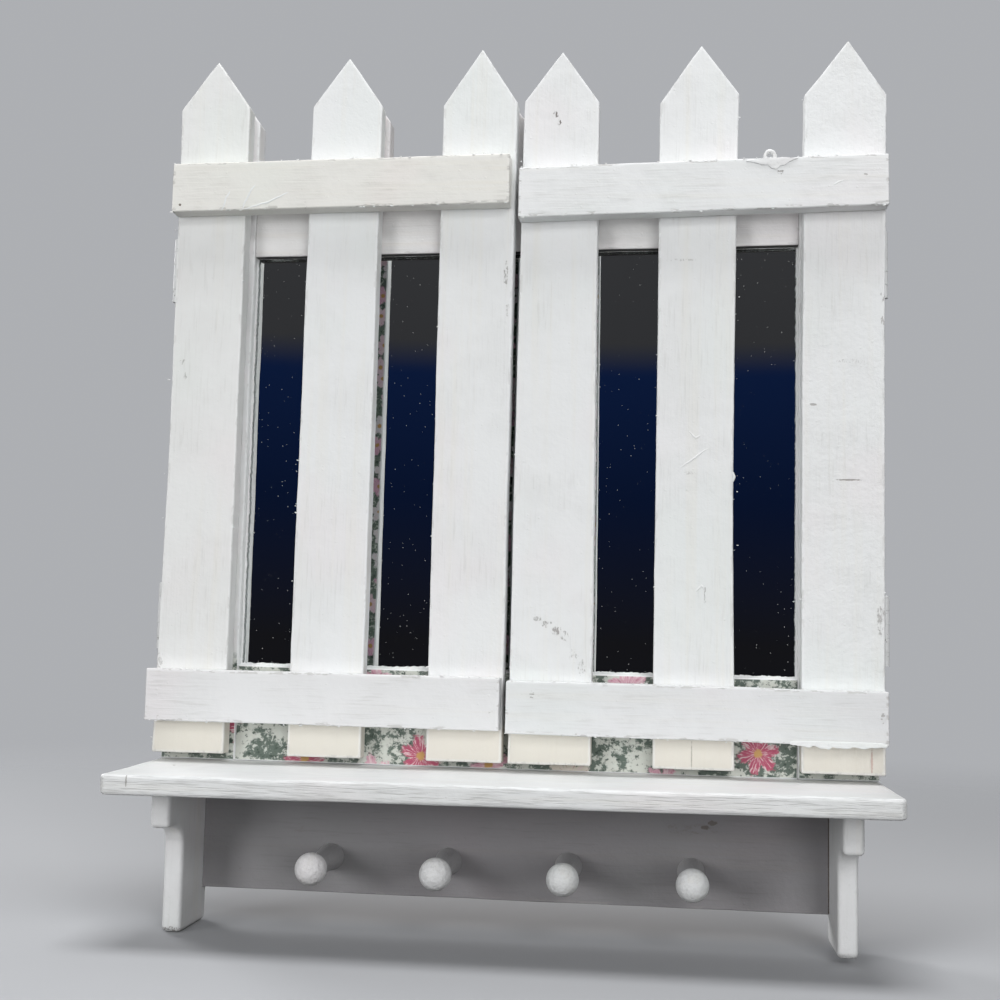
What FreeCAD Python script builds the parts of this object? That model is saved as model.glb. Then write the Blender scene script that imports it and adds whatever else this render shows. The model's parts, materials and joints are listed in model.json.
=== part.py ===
import FreeCAD, Part
import math
import os
from FreeCAD import Vector

# A wall mirror behind a pair of picket-fence doors, with a shelf and a peg rail below it.
# X runs to the right, Y into the wall and Z up. The origin is the centre of the peg board's back.

# Picket strip: the door pickets and the frame's two stiles are cut to the same length and point
PICKET_LENGTH = 406.4
LEFT_PICKET_WIDTH = 42.4       # the right door's pickets are a little wider
RIGHT_PICKET_WIDTH = 44.6
PICKET_THICKNESS = 11.1
POINT_HEIGHT = 30.4

# Mirror frame
FRAME_WIDTH = 404.0
FRAME_THICKNESS = 12.7
STILE_WIDTH = 43.5
SIGHT_BOTTOM = 54.0            # bottom board's top edge above the shelf
TOP_BOARD_LEFT = 112.0         # top board's height from its lower edge to its tips, at its left end
TOP_BOARD_RIGHT = 108.0        # the same at its right end: the board is sawn out of square
TOP_BOARD_NECK = 46.0          # wood between the top board's lower edge and its valleys
LIP_THICKNESS = 5.6            # wood left in front of the mirror's rebate
REBATE_WIDTH = 5.0
DOWEL_DIAMETER = 6.0
DOWEL_LENGTH = 30.0
DOWEL_INSET = 12.0             # dowels from a joint's two ends

# Mirror and its back
GLASS_THICKNESS = 3.0
BACKING_THICKNESS = 2.5
GLASS_MARGIN = 1.0             # room round the glass in its rebate
BRAD_DIAMETER = 1.2
BACKING_BRAD_LENGTH = 12.0

# Shelf
SHELF_DEPTH = 102.0
SHELF_OVERHANG = 0.2           # past the frame at each end
SHELF_THICKNESS = 10.5
SHELF_CORNER_RADIUS = 4.0
SHELF_EDGE_RADIUS = 1.0

# Peg board, brackets and pegs
PEG_BOARD_HEIGHT = 61.7
PEG_BOARD_THICKNESS = 8.0
BRACKET_INSET = 15.5           # brackets' outer faces inside the frame's ends
BRACKET_THICKNESS = 10.8
LEFT_BRACKET_HEIGHT = 80.6     # the left leg is sawn longer
RIGHT_BRACKET_HEIGHT = 77.6
BRACKET_BLOCK_DEPTH = 67.5
BRACKET_BLOCK_HEIGHT = 21.8
BRACKET_LEG_DEPTH = 43.5
BRACKET_COVE_RADIUS = 12.0
BRACKET_TOE_RADIUS = 4.0
PEG_COUNT = 4
PEG_END_DISTANCE = 74.6        # end pegs from the brackets' inner faces
PEG_RISE = 20.0                # peg axis above the peg board's lower edge
PEG_REACH = 45.5               # ball centre in front of the board
PEG_BALL_DIAMETER = 17.2
PEG_NECK_DIAMETER = 11.2
PEG_BASE_DIAMETER = 15.0
PEG_TENON_DIAMETER = 8.0
PEG_TENON_LENGTH = 6.0

# Keyhole slots in the stiles' backs, for two wall screws
KEYHOLE_DROP = 76.4            # round entry below the stile's tip
KEYHOLE_ENTRY_DIAMETER = 9.0
KEYHOLE_SLOT_WIDTH = 4.6
KEYHOLE_RISE = 12.0
KEYHOLE_DEPTH = 8.0
KEYHOLE_LIP = 3.0

# Doors
DOOR_OVERHANG = 1.2            # each door past the frame's end
MEETING_GAP = 3.8              # between the two doors
MEETING_SHIFT = -1.2           # the gap's middle from the frame's middle: the right door is wider
DOOR_CLEARANCE = 4.4           # under the pickets, so that the doors swing over the shelf
RAIL_HEIGHT = 28.8
RAIL_THICKNESS = 11.1
DOOR_BRAD_LENGTH = 18.0
DOOR_BRAD_SPREAD = 15.0        # between the two brads of one crossing

# Each rail is nailed on by eye. Its middle line's distance is given at the hinge end and at the free
# end, below the pickets' tips or above their feet, and then how far it runs past the door at each end
LEFT_TOP_RAIL_DROP = (81.4, 78.7)
LEFT_TOP_RAIL_OVER = (-1.0, -1.7)
LEFT_BOTTOM_RAIL_RISE = (32.7, 32.5)
LEFT_BOTTOM_RAIL_OVER = (0.7, -0.7)
RIGHT_TOP_RAIL_DROP = (82.6, 87.1)
RIGHT_TOP_RAIL_OVER = (1.5, 0.1)
RIGHT_BOTTOM_RAIL_RISE = (30.5, 31.3)
RIGHT_BOTTOM_RAIL_OVER = (0.3, 1.1)

# Butt hinges, folded between door and stile
HINGE_LENGTH = 38.1
HINGE_LEAF_WIDTH = 11.0        # from the pin's axis
HINGE_LEAF_THICKNESS = 0.9
HINGE_LEAF_GAP = 0.2
HINGE_BARREL_DIAMETER = 3.8
HINGE_PIN_DIAMETER = 1.9
HINGE_PIN_CLEARANCE = 0.05
HINGE_PIN_HEAD_DIAMETER = 2.8
HINGE_PIN_HEAD_HEIGHT = 0.6
HINGE_KNUCKLES = 5
HINGE_KNUCKLE_GAP = 0.2
HINGE_EDGE_GAP = 0.2           # between the barrel and the door's edge
HINGE_CUT_CLEARANCE = 0.3      # round the other leaf's knuckles
UPPER_HINGE_DROP = 124.9       # hinge middles below the pickets' tips and above their feet
LOWER_HINGE_RISE = 77.0

# Screws and nails
HINGE_SCREW_DIAMETER = 2.0
HINGE_SCREW_HEAD_DIAMETER = 3.6
HINGE_SCREW_LENGTH = 8.0
HINGE_SCREW_SPREAD = 24.0
SHELF_SCREW_DIAMETER = 3.5
SHELF_SCREW_HEAD_DIAMETER = 7.0
SHELF_SCREW_LENGTH = 32.0
NAIL_DIAMETER = 1.6
NAIL_LENGTH = 30.0
NAIL_SPREAD = 30.0
NAIL_SET = 0.4                 # nail heads driven below the wood's face
FASTENER_CLEARANCE = 0.03      # round every shank, dowel and tenon

# Worked-out planes and heights
shelf_bottom = PEG_BOARD_HEIGHT / 2
shelf_top = shelf_bottom + SHELF_THICKNESS
door_foot = shelf_top + DOOR_CLEARANCE
door_tip = door_foot + PICKET_LENGTH
frame_front = -FRAME_THICKNESS
leaf_space = 2 * HINGE_LEAF_THICKNESS + HINGE_LEAF_GAP
picket_back = frame_front - leaf_space
picket_front = picket_back - PICKET_THICKNESS
rail_front = picket_front - RAIL_THICKNESS
axis_y = frame_front - leaf_space / 2
barrel_radius = HINGE_BARREL_DIAMETER / 2
door_half = FRAME_WIDTH / 2 + DOOR_OVERHANG
axis_x = door_half + HINGE_EDGE_GAP + barrel_radius
sight_half = FRAME_WIDTH / 2 - STILE_WIDTH
stile_centre = FRAME_WIDTH / 2 - STILE_WIDTH / 2
tip_height = shelf_top + PICKET_LENGTH
shoulder_height = tip_height - POINT_HEIGHT
sight_bottom = shelf_top + SIGHT_BOTTOM
sight_top_left = tip_height - TOP_BOARD_LEFT
sight_top_right = tip_height - TOP_BOARD_RIGHT
bracket_outer = FRAME_WIDTH / 2 - BRACKET_INSET
bracket_inner = bracket_outer - BRACKET_THICKNESS
mirror_front = frame_front + LIP_THICKNESS
backing_front = mirror_front + GLASS_THICKNESS
backing_back = backing_front + BACKING_THICKNESS
SIDES = {"left": -1, "right": 1}
PICKET_WIDTHS = {"left": LEFT_PICKET_WIDTH, "right": RIGHT_PICKET_WIDTH}
BRACKET_HEIGHTS = {"left": LEFT_BRACKET_HEIGHT, "right": RIGHT_BRACKET_HEIGHT}
RAIL_HEIGHTS = {
    ("left", "top_rail"): [door_tip - drop for drop in LEFT_TOP_RAIL_DROP],
    ("left", "bottom_rail"): [door_foot + rise for rise in LEFT_BOTTOM_RAIL_RISE],
    ("right", "top_rail"): [door_tip - drop for drop in RIGHT_TOP_RAIL_DROP],
    ("right", "bottom_rail"): [door_foot + rise for rise in RIGHT_BOTTOM_RAIL_RISE],
}
RAIL_OVERS = {
    ("left", "top_rail"): LEFT_TOP_RAIL_OVER,
    ("left", "bottom_rail"): LEFT_BOTTOM_RAIL_OVER,
    ("right", "top_rail"): RIGHT_TOP_RAIL_OVER,
    ("right", "bottom_rail"): RIGHT_BOTTOM_RAIL_OVER,
}
RAIL_NAMES = ("top_rail", "bottom_rail")
HINGE_HEIGHTS = {"upper": door_tip - UPPER_HINGE_DROP, "lower": door_foot + LOWER_HINGE_RISE}


def block(x0, x1, y0, y1, z0, z1):
    corner = Vector(min(x0, x1), min(y0, y1), min(z0, z1))
    return Part.makeBox(abs(x1 - x0), abs(y1 - y0), abs(z1 - z0), corner)


def board(outline, y0, y1):
    """A flat board: an outline of (x, z) points, sawn through from depth y0 to y1."""
    points = [Vector(x, y0, z) for x, z in outline]
    face = Part.Face(Part.makePolygon(points + points[:1]))
    return face.extrude(Vector(0, y1 - y0, 0))


def rod(diameter, start, direction, length):
    return Part.makeCylinder(diameter / 2, length, start, direction)


def hole_for(diameter, start, direction, length):
    return rod(diameter + 2 * FASTENER_CLEARANCE, start, direction, length)


def drilled(solid, holes):
    return solid.cut(holes).removeSplitter() if holes else solid


def picket_outline(left, right, foot, tip):
    shoulder = tip - POINT_HEIGHT
    middle = (left + right) / 2
    return [(left, foot), (right, foot), (right, shoulder), (middle, tip), (left, shoulder)]


def countersunk_screw(start, direction, diameter, head_diameter, length):
    """A flat-headed screw whose head lies at start and whose shank runs along direction."""
    head_height = (head_diameter - diameter) / 2
    shank = rod(diameter, start, direction, length)
    head = Part.makeCone(head_diameter / 2, diameter / 2, head_height, start, direction)
    return shank.fuse(head).removeSplitter()


def countersunk_hole(start, direction, diameter, head_diameter, length):
    wider = 2 * FASTENER_CLEARANCE
    return countersunk_screw(start, direction, diameter + wider, head_diameter + wider, length)


def save(name, shape):
    shape.exportStep(f"parts/{name}.step")


# Fastener places, used by the pieces that they hold and by the fasteners themselves

def dowel_rods(make):
    """Dowels across the four joints between the stiles and the two boards."""
    bottom_pair = (shelf_top + DOWEL_INSET, sight_bottom - REBATE_WIDTH - DOWEL_INSET)
    rods = []
    for side in SIDES.values():
        sight_top = sight_top_left if side < 0 else sight_top_right
        top_pair = (sight_top + REBATE_WIDTH + DOWEL_INSET, sight_top + TOP_BOARD_NECK - DOWEL_INSET)
        for height in bottom_pair + top_pair:
            start = Vector(side * sight_half - DOWEL_LENGTH / 2, -FRAME_THICKNESS / 2, height)
            rods.append(make(DOWEL_DIAMETER, start, Vector(1, 0, 0), DOWEL_LENGTH))
    return rods


def backing_brad_rods(make):
    """Headless brads driven into the rebate's walls, lying on the backing board."""
    depth = backing_back + BRAD_DIAMETER / 2 + FASTENER_CLEARANCE
    wall_x = sight_half + REBATE_WIDTH
    low = sight_bottom - REBATE_WIDTH
    middle = (sight_bottom + sight_top_left) / 2
    quarter = (sight_top_left - sight_bottom) / 4
    half = BACKING_BRAD_LENGTH / 2
    rods = []
    for side in SIDES.values():
        for height in (middle - quarter, middle + quarter):
            start = Vector(side * wall_x - half, depth, height)
            rods.append(make(BRAD_DIAMETER, start, Vector(1, 0, 0), BACKING_BRAD_LENGTH))
    for step in (-1, 0, 1):
        x = step * wall_x * 2 / 3
        high = (sight_top_left + sight_top_right) / 2 + REBATE_WIDTH
        high += (sight_top_right - sight_top_left) / 2 * x / sight_half
        for height in (low, high):
            start = Vector(x, depth, height - half)
            rods.append(make(BRAD_DIAMETER, start, Vector(0, 0, 1), BACKING_BRAD_LENGTH))
    return rods


def shelf_screws(make):
    """Screws up through the shelf into the stiles and the bottom board."""
    return [
        make(Vector(share * stile_centre, -FRAME_THICKNESS / 2, shelf_bottom), Vector(0, 0, 1),
             SHELF_SCREW_DIAMETER, SHELF_SCREW_HEAD_DIAMETER, SHELF_SCREW_LENGTH)
        for share in (-1, -1 / 3, 1 / 3, 1)
    ]


def shelf_nails(make):
    """Nails down through the shelf into the brackets, and through the brackets into the peg board."""
    nails = []
    for side in SIDES.values():
        middle = side * (bracket_outer + bracket_inner) / 2
        for step in (-0.5, 0.5):
            depth = -BRACKET_BLOCK_DEPTH / 2 + step * NAIL_SPREAD
            start = Vector(middle, depth, shelf_top - NAIL_SET)
            nails.append(make(NAIL_DIAMETER, start, Vector(0, 0, -1), NAIL_LENGTH))
            outer = side * (bracket_outer - NAIL_SET)
            start = Vector(outer, -PEG_BOARD_THICKNESS / 2, step * NAIL_SPREAD)
            nails.append(make(NAIL_DIAMETER, start, Vector(-side, 0, 0), NAIL_LENGTH))
    return nails


def door_edges(name):
    """A door's hinge-side and free edges, as x."""
    side = SIDES[name]
    return side * door_half, MEETING_SHIFT + side * MEETING_GAP / 2


def picket_spans(name):
    """Left and right edges of a door's pickets, from the hinge side to the free edge."""
    outer, free = door_edges(name)
    half = PICKET_WIDTHS[name] / 2
    first = outer - SIDES[name] * half
    last = free + SIDES[name] * half
    centres = {"hinge_picket": first, "middle_picket": (first + last) / 2, "meeting_picket": last}
    return {key: (x - half, x + half) for key, x in centres.items()}


def rail_line(name, rail):
    """A rail's middle line: hinge-end point and free-end point, as (x, z)."""
    hinge_height, free_height = RAIL_HEIGHTS[name, rail]
    hinge_over, free_over = RAIL_OVERS[name, rail]
    outer, free = door_edges(name)
    side = SIDES[name]
    return (outer + side * hinge_over, hinge_height), (free - side * free_over, free_height)


def rail_height_at(name, rail, x):
    (x0, z0), (x1, z1) = rail_line(name, rail)
    return z0 + (z1 - z0) * (x - x0) / (x1 - x0)


def door_brads(name, make):
    """Two brads at each crossing of a rail and a picket."""
    brads = []
    for rail in RAIL_NAMES:
        for left, right in picket_spans(name).values():
            middle = (left + right) / 2
            for step in (-0.5, 0.5):
                x = middle + step * DOOR_BRAD_SPREAD
                height = rail_height_at(name, rail, x) - step * DOOR_BRAD_SPREAD / 2
                start = Vector(x, rail_front + NAIL_SET, height)
                brads.append(make(BRAD_DIAMETER, start, Vector(0, 1, 0), DOOR_BRAD_LENGTH))
    return brads


def hinge_screws(name, leaf, make):
    """Screws through one side's frame leaves into the stile, or door leaves into the picket."""
    inward = 1 if leaf == "frame" else -1
    plate_middle = (HINGE_LEAF_WIDTH + barrel_radius) / 2
    x = SIDES[name] * (axis_x - plate_middle)
    head = axis_y + inward * (HINGE_LEAF_GAP / 2 + FASTENER_CLEARANCE)
    screws = []
    for height in HINGE_HEIGHTS.values():
        for step in (-0.5, 0.5):
            start = Vector(x, head, height + step * HINGE_SCREW_SPREAD)
            screws.append(make(start, Vector(0, inward, 0), HINGE_SCREW_DIAMETER,
                               HINGE_SCREW_HEAD_DIAMETER, HINGE_SCREW_LENGTH))
    return screws


# Frame

def sheet(lap, front, back):
    """A sheet as large as the mirror's opening and a lap all round."""
    wide = sight_half + lap
    low = sight_bottom - lap
    outline = [(-wide, low), (wide, low), (wide, sight_top_right + lap), (-wide, sight_top_left + lap)]
    return board(outline, front, back)


def rebate():
    return sheet(REBATE_WIDTH, mirror_front, 0)


def keyhole(x):
    """A round entry with a narrow slot above it that widens behind its lip."""
    entry_height = tip_height - KEYHOLE_DROP
    inward = Vector(0, -1, 0)
    entry_radius = KEYHOLE_ENTRY_DIAMETER / 2
    slot_radius = KEYHOLE_SLOT_WIDTH / 2
    top = Vector(x, 0, entry_height + KEYHOLE_RISE)
    behind_lip = Vector(x, -KEYHOLE_LIP, entry_height + KEYHOLE_RISE)
    pieces = [
        Part.makeCylinder(entry_radius, KEYHOLE_DEPTH, Vector(x, 0, entry_height), inward),
        Part.makeCylinder(slot_radius, KEYHOLE_LIP, top, inward),
        block(x - slot_radius, x + slot_radius, -KEYHOLE_LIP, 0, entry_height, top.z),
        Part.makeCylinder(entry_radius, KEYHOLE_DEPTH - KEYHOLE_LIP, behind_lip, inward),
        block(x - entry_radius, x + entry_radius, -KEYHOLE_DEPTH, -KEYHOLE_LIP, entry_height, top.z),
    ]
    return pieces[0].fuse(pieces[1:])


def stile(name):
    side = SIDES[name]
    outer, inner = side * FRAME_WIDTH / 2, side * sight_half
    outline = picket_outline(min(outer, inner), max(outer, inner), shelf_top, tip_height)
    holes = [rebate(), keyhole(side * stile_centre)]
    holes += dowel_rods(hole_for) + backing_brad_rods(hole_for)
    holes += shelf_screws(countersunk_hole) + hinge_screws(name, "frame", countersunk_hole)
    return drilled(board(outline, frame_front, 0), holes)


def top_board():
    """The board over the mirror, its upper edge sawn into four fence tips."""
    half = STILE_WIDTH / 2
    outer_centre = (stile_centre + half) / 2

    def half_edge(valley):
        return [
            (half, tip_height), (STILE_WIDTH, shoulder_height), (STILE_WIDTH, valley),
            (outer_centre - half, valley), (outer_centre - half, shoulder_height),
            (outer_centre, tip_height), (outer_centre + half, shoulder_height),
            (outer_centre + half, valley), (sight_half, valley),
        ]

    left_edge = [(-x, z) for x, z in reversed(half_edge(sight_top_left + TOP_BOARD_NECK))]
    right_edge = half_edge(sight_top_right + TOP_BOARD_NECK)
    foot = [(sight_half, sight_top_right), (-sight_half, sight_top_left)]
    outline = left_edge + [(0, shoulder_height)] + right_edge + foot
    holes = [rebate()] + dowel_rods(hole_for) + backing_brad_rods(hole_for)
    return drilled(board(outline, frame_front, 0), holes)


def bottom_board():
    solid = block(-sight_half, sight_half, frame_front, 0, shelf_top, sight_bottom)
    holes = [rebate()] + dowel_rods(hole_for) + backing_brad_rods(hole_for)
    return drilled(solid, holes + shelf_screws(countersunk_hole))


def pane(front, back):
    """A sheet that drops into the rebate with a little room all round."""
    return sheet(REBATE_WIDTH - GLASS_MARGIN, front, back)


# Shelf, brackets and pegs

def shelf():
    half = FRAME_WIDTH / 2 + SHELF_OVERHANG
    solid = block(-half, half, -SHELF_DEPTH, 0, shelf_bottom, shelf_top)
    corners = [e for e in solid.Edges if e.BoundBox.YMax < -SHELF_DEPTH / 2 and e.BoundBox.ZLength > 1]
    solid = solid.makeFillet(SHELF_CORNER_RADIUS, corners)
    rims = [e for e in solid.Edges if e.BoundBox.YMin < -SHELF_DEPTH / 2 and e.BoundBox.ZLength < 1e-6]
    solid = solid.makeFillet(SHELF_EDGE_RADIUS, rims)
    return drilled(solid, shelf_screws(countersunk_hole) + shelf_nails(hole_for))


def bracket(name):
    """Side outline: square block, ledge, cove and straight leg with a rounded toe."""
    top = shelf_bottom
    ledge = top - BRACKET_BLOCK_HEIGHT
    foot = top - BRACKET_HEIGHTS[name]
    leg = -BRACKET_LEG_DEPTH
    cove_start = leg - BRACKET_COVE_RADIUS
    toe = BRACKET_TOE_RADIUS
    cove_middle = (
        cove_start + BRACKET_COVE_RADIUS * math.sin(math.pi / 4),
        ledge - BRACKET_COVE_RADIUS * (1 - math.cos(math.pi / 4)),
    )
    corner = toe * (1 - math.cos(math.pi / 4))
    outer = SIDES[name] * bracket_outer

    def at(y, z):
        return Vector(outer, y, z)

    def line(a, b):
        return Part.LineSegment(at(*a), at(*b)).toShape()

    def arc(a, b, c):
        return Part.Arc(at(*a), at(*b), at(*c)).toShape()

    edges = [
        line((0, top), (-BRACKET_BLOCK_DEPTH, top)),
        line((-BRACKET_BLOCK_DEPTH, top), (-BRACKET_BLOCK_DEPTH, ledge)),
        line((-BRACKET_BLOCK_DEPTH, ledge), (cove_start, ledge)),
        arc((cove_start, ledge), cove_middle, (leg, ledge - BRACKET_COVE_RADIUS)),
        line((leg, ledge - BRACKET_COVE_RADIUS), (leg, foot + toe)),
        arc((leg, foot + toe), (leg + corner, foot + corner), (leg + toe, foot)),
        line((leg + toe, foot), (-toe, foot)),
        arc((-toe, foot), (-corner, foot + corner), (0, foot + toe)),
        line((0, foot + toe), (0, top)),
    ]
    face = Part.Face(Part.Wire(edges))
    solid = face.extrude(Vector(-SIDES[name] * BRACKET_THICKNESS, 0, 0))
    return drilled(solid, shelf_nails(hole_for))


def peg_places():
    last = bracket_inner - PEG_END_DISTANCE
    return [last * (2 * i / (PEG_COUNT - 1) - 1) for i in range(PEG_COUNT)]


def peg_board():
    half = PEG_BOARD_HEIGHT / 2
    solid = block(-bracket_inner, bracket_inner, -PEG_BOARD_THICKNESS, 0, -half, half)
    face = -PEG_BOARD_THICKNESS
    height = -PEG_BOARD_HEIGHT / 2 + PEG_RISE
    holes = [
        hole_for(PEG_TENON_DIAMETER, Vector(x, face, height), Vector(0, 1, 0), PEG_TENON_LENGTH)
        for x in peg_places()
    ]
    return drilled(solid, holes + shelf_nails(hole_for))


def peg(x):
    """A turned peg: tenon, flared foot, waisted shank and ball head."""
    height = -PEG_BOARD_HEIGHT / 2 + PEG_RISE
    face = -PEG_BOARD_THICKNESS
    ball = PEG_BALL_DIAMETER / 2
    neck = PEG_NECK_DIAMETER / 2
    base = PEG_BASE_DIAMETER / 2
    neck_reach = PEG_REACH - math.sqrt(ball ** 2 - neck ** 2)

    def at(radius, reach):
        return Vector(x + radius, face - reach, height)

    def line(a, b):
        return Part.LineSegment(at(*a), at(*b)).toShape()

    tenon = PEG_TENON_DIAMETER / 2
    waist = ((neck + base) / 2 - (base - neck) / 4, neck_reach / 2)
    cheek = math.radians(30)
    edges = [
        line((0, -PEG_TENON_LENGTH), (tenon, -PEG_TENON_LENGTH)),
        line((tenon, -PEG_TENON_LENGTH), (tenon, 0)),
        line((tenon, 0), (base, 0)),
        Part.Arc(at(base, 0), at(*waist), at(neck, neck_reach)).toShape(),
        Part.Arc(at(neck, neck_reach), at(ball * math.cos(cheek), PEG_REACH + ball * math.sin(cheek)),
                 at(0, PEG_REACH + ball)).toShape(),
        line((0, PEG_REACH + ball), (0, -PEG_TENON_LENGTH)),
    ]
    profile = Part.Face(Part.Wire(edges))
    return profile.revolve(Vector(x, face, height), Vector(0, 1, 0), 360)


# Doors

def picket(name, key):
    left, right = picket_spans(name)[key]
    outline = picket_outline(left, right, door_foot, door_tip)
    holes = door_brads(name, hole_for) + hinge_screws(name, "door", countersunk_hole)
    return drilled(board(outline, picket_front, picket_back), holes)


def rail(name, key):
    (x0, z0), (x1, z1) = rail_line(name, key)
    half = RAIL_HEIGHT / 2
    outline = [(x0, z0 - half), (x1, z1 - half), (x1, z1 + half), (x0, z0 + half)]
    return drilled(board(outline, rail_front, picket_front), door_brads(name, hole_for))


# Hinges

def knuckle_span(index, middle):
    pitch = HINGE_LENGTH / HINGE_KNUCKLES
    low = middle - HINGE_LENGTH / 2 + index * pitch
    return low + HINGE_KNUCKLE_GAP / 2, low + pitch - HINGE_KNUCKLE_GAP / 2


def hinge_leaf(name, leaf, middle):
    """A plate with its own knuckles on the pin's axis, notched for the other leaf's knuckles."""
    side = SIDES[name]
    inward = 1 if leaf == "frame" else -1
    own = range(0 if leaf == "frame" else 1, HINGE_KNUCKLES, 2)
    near = axis_y + inward * HINGE_LEAF_GAP / 2
    far = near + inward * HINGE_LEAF_THICKNESS
    low, high = middle - HINGE_LENGTH / 2, middle + HINGE_LENGTH / 2
    notch_x = side * (axis_x - barrel_radius - HINGE_CUT_CLEARANCE)
    end_x = side * (axis_x - HINGE_LEAF_WIDTH)
    root_x = side * (axis_x - (barrel_radius + HINGE_PIN_DIAMETER / 2) / 2)
    bore = HINGE_PIN_DIAMETER / 2 + HINGE_PIN_CLEARANCE
    plate = block(notch_x, end_x, near, far, low, high)
    knuckles = []
    for index in own:
        z0, z1 = knuckle_span(index, middle)
        barrel = Part.makeCylinder(barrel_radius, z1 - z0, Vector(side * axis_x, axis_y, z0))
        barrel = barrel.cut(Part.makeCylinder(bore, z1 - z0, Vector(side * axis_x, axis_y, z0)))
        knuckles += [barrel, block(root_x, notch_x, near, far, z0, z1)]
    solid = plate.fuse(knuckles).removeSplitter()
    return drilled(solid, hinge_screws(name, leaf, countersunk_hole))


def hinge_pin(name, middle):
    """A plain pin with a small flat head resting on the top knuckle."""
    x = SIDES[name] * axis_x
    low = middle - HINGE_LENGTH / 2 + HINGE_KNUCKLE_GAP / 2
    top = middle + HINGE_LENGTH / 2 - HINGE_KNUCKLE_GAP / 2
    shank = Part.makeCylinder(HINGE_PIN_DIAMETER / 2, top - low, Vector(x, axis_y, low))
    head = Part.makeCylinder(HINGE_PIN_HEAD_DIAMETER / 2, HINGE_PIN_HEAD_HEIGHT, Vector(x, axis_y, top))
    return shank.fuse(head).removeSplitter()


os.makedirs("parts", exist_ok=True)
save("top_board", top_board())
save("bottom_board", bottom_board())
save("frame_dowels", Part.makeCompound(dowel_rods(rod)))
save("mirror_glass", pane(mirror_front, backing_front))
save("backing_board", pane(backing_front, backing_back))
save("backing_brads", Part.makeCompound(backing_brad_rods(rod)))
save("shelf", shelf())
save("shelf_screws", Part.makeCompound(shelf_screws(countersunk_screw)))
save("shelf_nails", Part.makeCompound(shelf_nails(rod)))
save("peg_board", peg_board())
for number, place in enumerate(peg_places(), 1):
    save(f"peg_{number}", peg(place))
for door in SIDES:
    save(f"{door}_stile", stile(door))
    save(f"{door}_bracket", bracket(door))
    for key in picket_spans(door):
        save(f"{door}_{key}", picket(door, key))
    for key in RAIL_NAMES:
        save(f"{door}_{key}", rail(door, key))
    save(f"{door}_door_brads", Part.makeCompound(door_brads(door, rod)))
    for leaf in ("frame", "door"):
        save(f"{door}_{leaf}_hinge_screws", Part.makeCompound(hinge_screws(door, leaf, countersunk_screw)))
    for level, height in HINGE_HEIGHTS.items():
        save(f"{door}_{level}_frame_leaf", hinge_leaf(door, "frame", height))
        save(f"{door}_{level}_door_leaf", hinge_leaf(door, "door", height))
        save(f"{door}_{level}_hinge_pin", hinge_pin(door, height))
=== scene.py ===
import json
import math
import random

import bmesh
import bpy
from mathutils import Matrix, Vector, noise


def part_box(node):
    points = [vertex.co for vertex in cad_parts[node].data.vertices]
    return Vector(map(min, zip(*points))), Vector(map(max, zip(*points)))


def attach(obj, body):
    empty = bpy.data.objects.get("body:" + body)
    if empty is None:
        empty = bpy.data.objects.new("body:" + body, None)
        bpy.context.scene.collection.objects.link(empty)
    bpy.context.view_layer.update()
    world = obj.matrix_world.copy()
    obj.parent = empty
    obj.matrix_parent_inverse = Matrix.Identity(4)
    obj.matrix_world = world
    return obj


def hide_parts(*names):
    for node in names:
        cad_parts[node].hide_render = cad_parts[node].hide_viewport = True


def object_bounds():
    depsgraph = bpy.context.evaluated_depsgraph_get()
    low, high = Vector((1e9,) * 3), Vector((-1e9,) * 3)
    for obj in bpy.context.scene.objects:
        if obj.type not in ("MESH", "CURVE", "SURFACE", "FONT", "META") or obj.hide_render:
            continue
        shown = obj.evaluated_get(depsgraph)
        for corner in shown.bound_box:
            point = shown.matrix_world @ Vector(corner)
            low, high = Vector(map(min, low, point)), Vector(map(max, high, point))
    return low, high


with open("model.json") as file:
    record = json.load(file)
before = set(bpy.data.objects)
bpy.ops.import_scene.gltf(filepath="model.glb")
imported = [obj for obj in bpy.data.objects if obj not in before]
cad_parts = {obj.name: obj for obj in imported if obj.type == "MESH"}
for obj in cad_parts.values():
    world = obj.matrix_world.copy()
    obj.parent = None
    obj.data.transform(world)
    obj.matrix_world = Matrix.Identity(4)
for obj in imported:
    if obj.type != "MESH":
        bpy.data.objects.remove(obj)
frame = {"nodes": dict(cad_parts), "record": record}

cad_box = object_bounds()
MM = 0.001
WAVE_SEED = 7                  # mathutils takes the clock's time as its seed unless one is set
noise.seed_set(WAVE_SEED)

# Shapes that the solids give as plain numbers
POINT = 30.4 * MM              # height of a picket's point
STILE_WIDTH = 43.5 * MM
TOP_NECK = 46.0 * MM           # the top board's valleys above its lower edge
BLOCK_HEIGHT = 21.8 * MM       # a bracket's head
LEG_DEPTH = 43.5 * MM
COVE = 12.0 * MM
TOE = 4.0 * MM
SHELF_CORNER = 4.0 * MM
BALL_SHARE = 0.88              # where a peg's ball ends, in ball widths from its front
LIP = 5.6 * MM                 # the frame's lip in front of the glass
REBATE = 5.0 * MM              # how far the step behind the lip reaches into the frame
KEYHOLE_DROP = 76.4 * MM       # a keyhole's entry below the stile's top
KEYHOLE_RISE = 12.0 * MM
KEYHOLE_DEPTH = 8.0 * MM
KEYHOLE_LIP = 3.0 * MM
KEYHOLE_ENTRY = 4.5 * MM       # radius that lets a screw's head in
KEYHOLE_SLOT = 2.3 * MM        # half the slot's width

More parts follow.
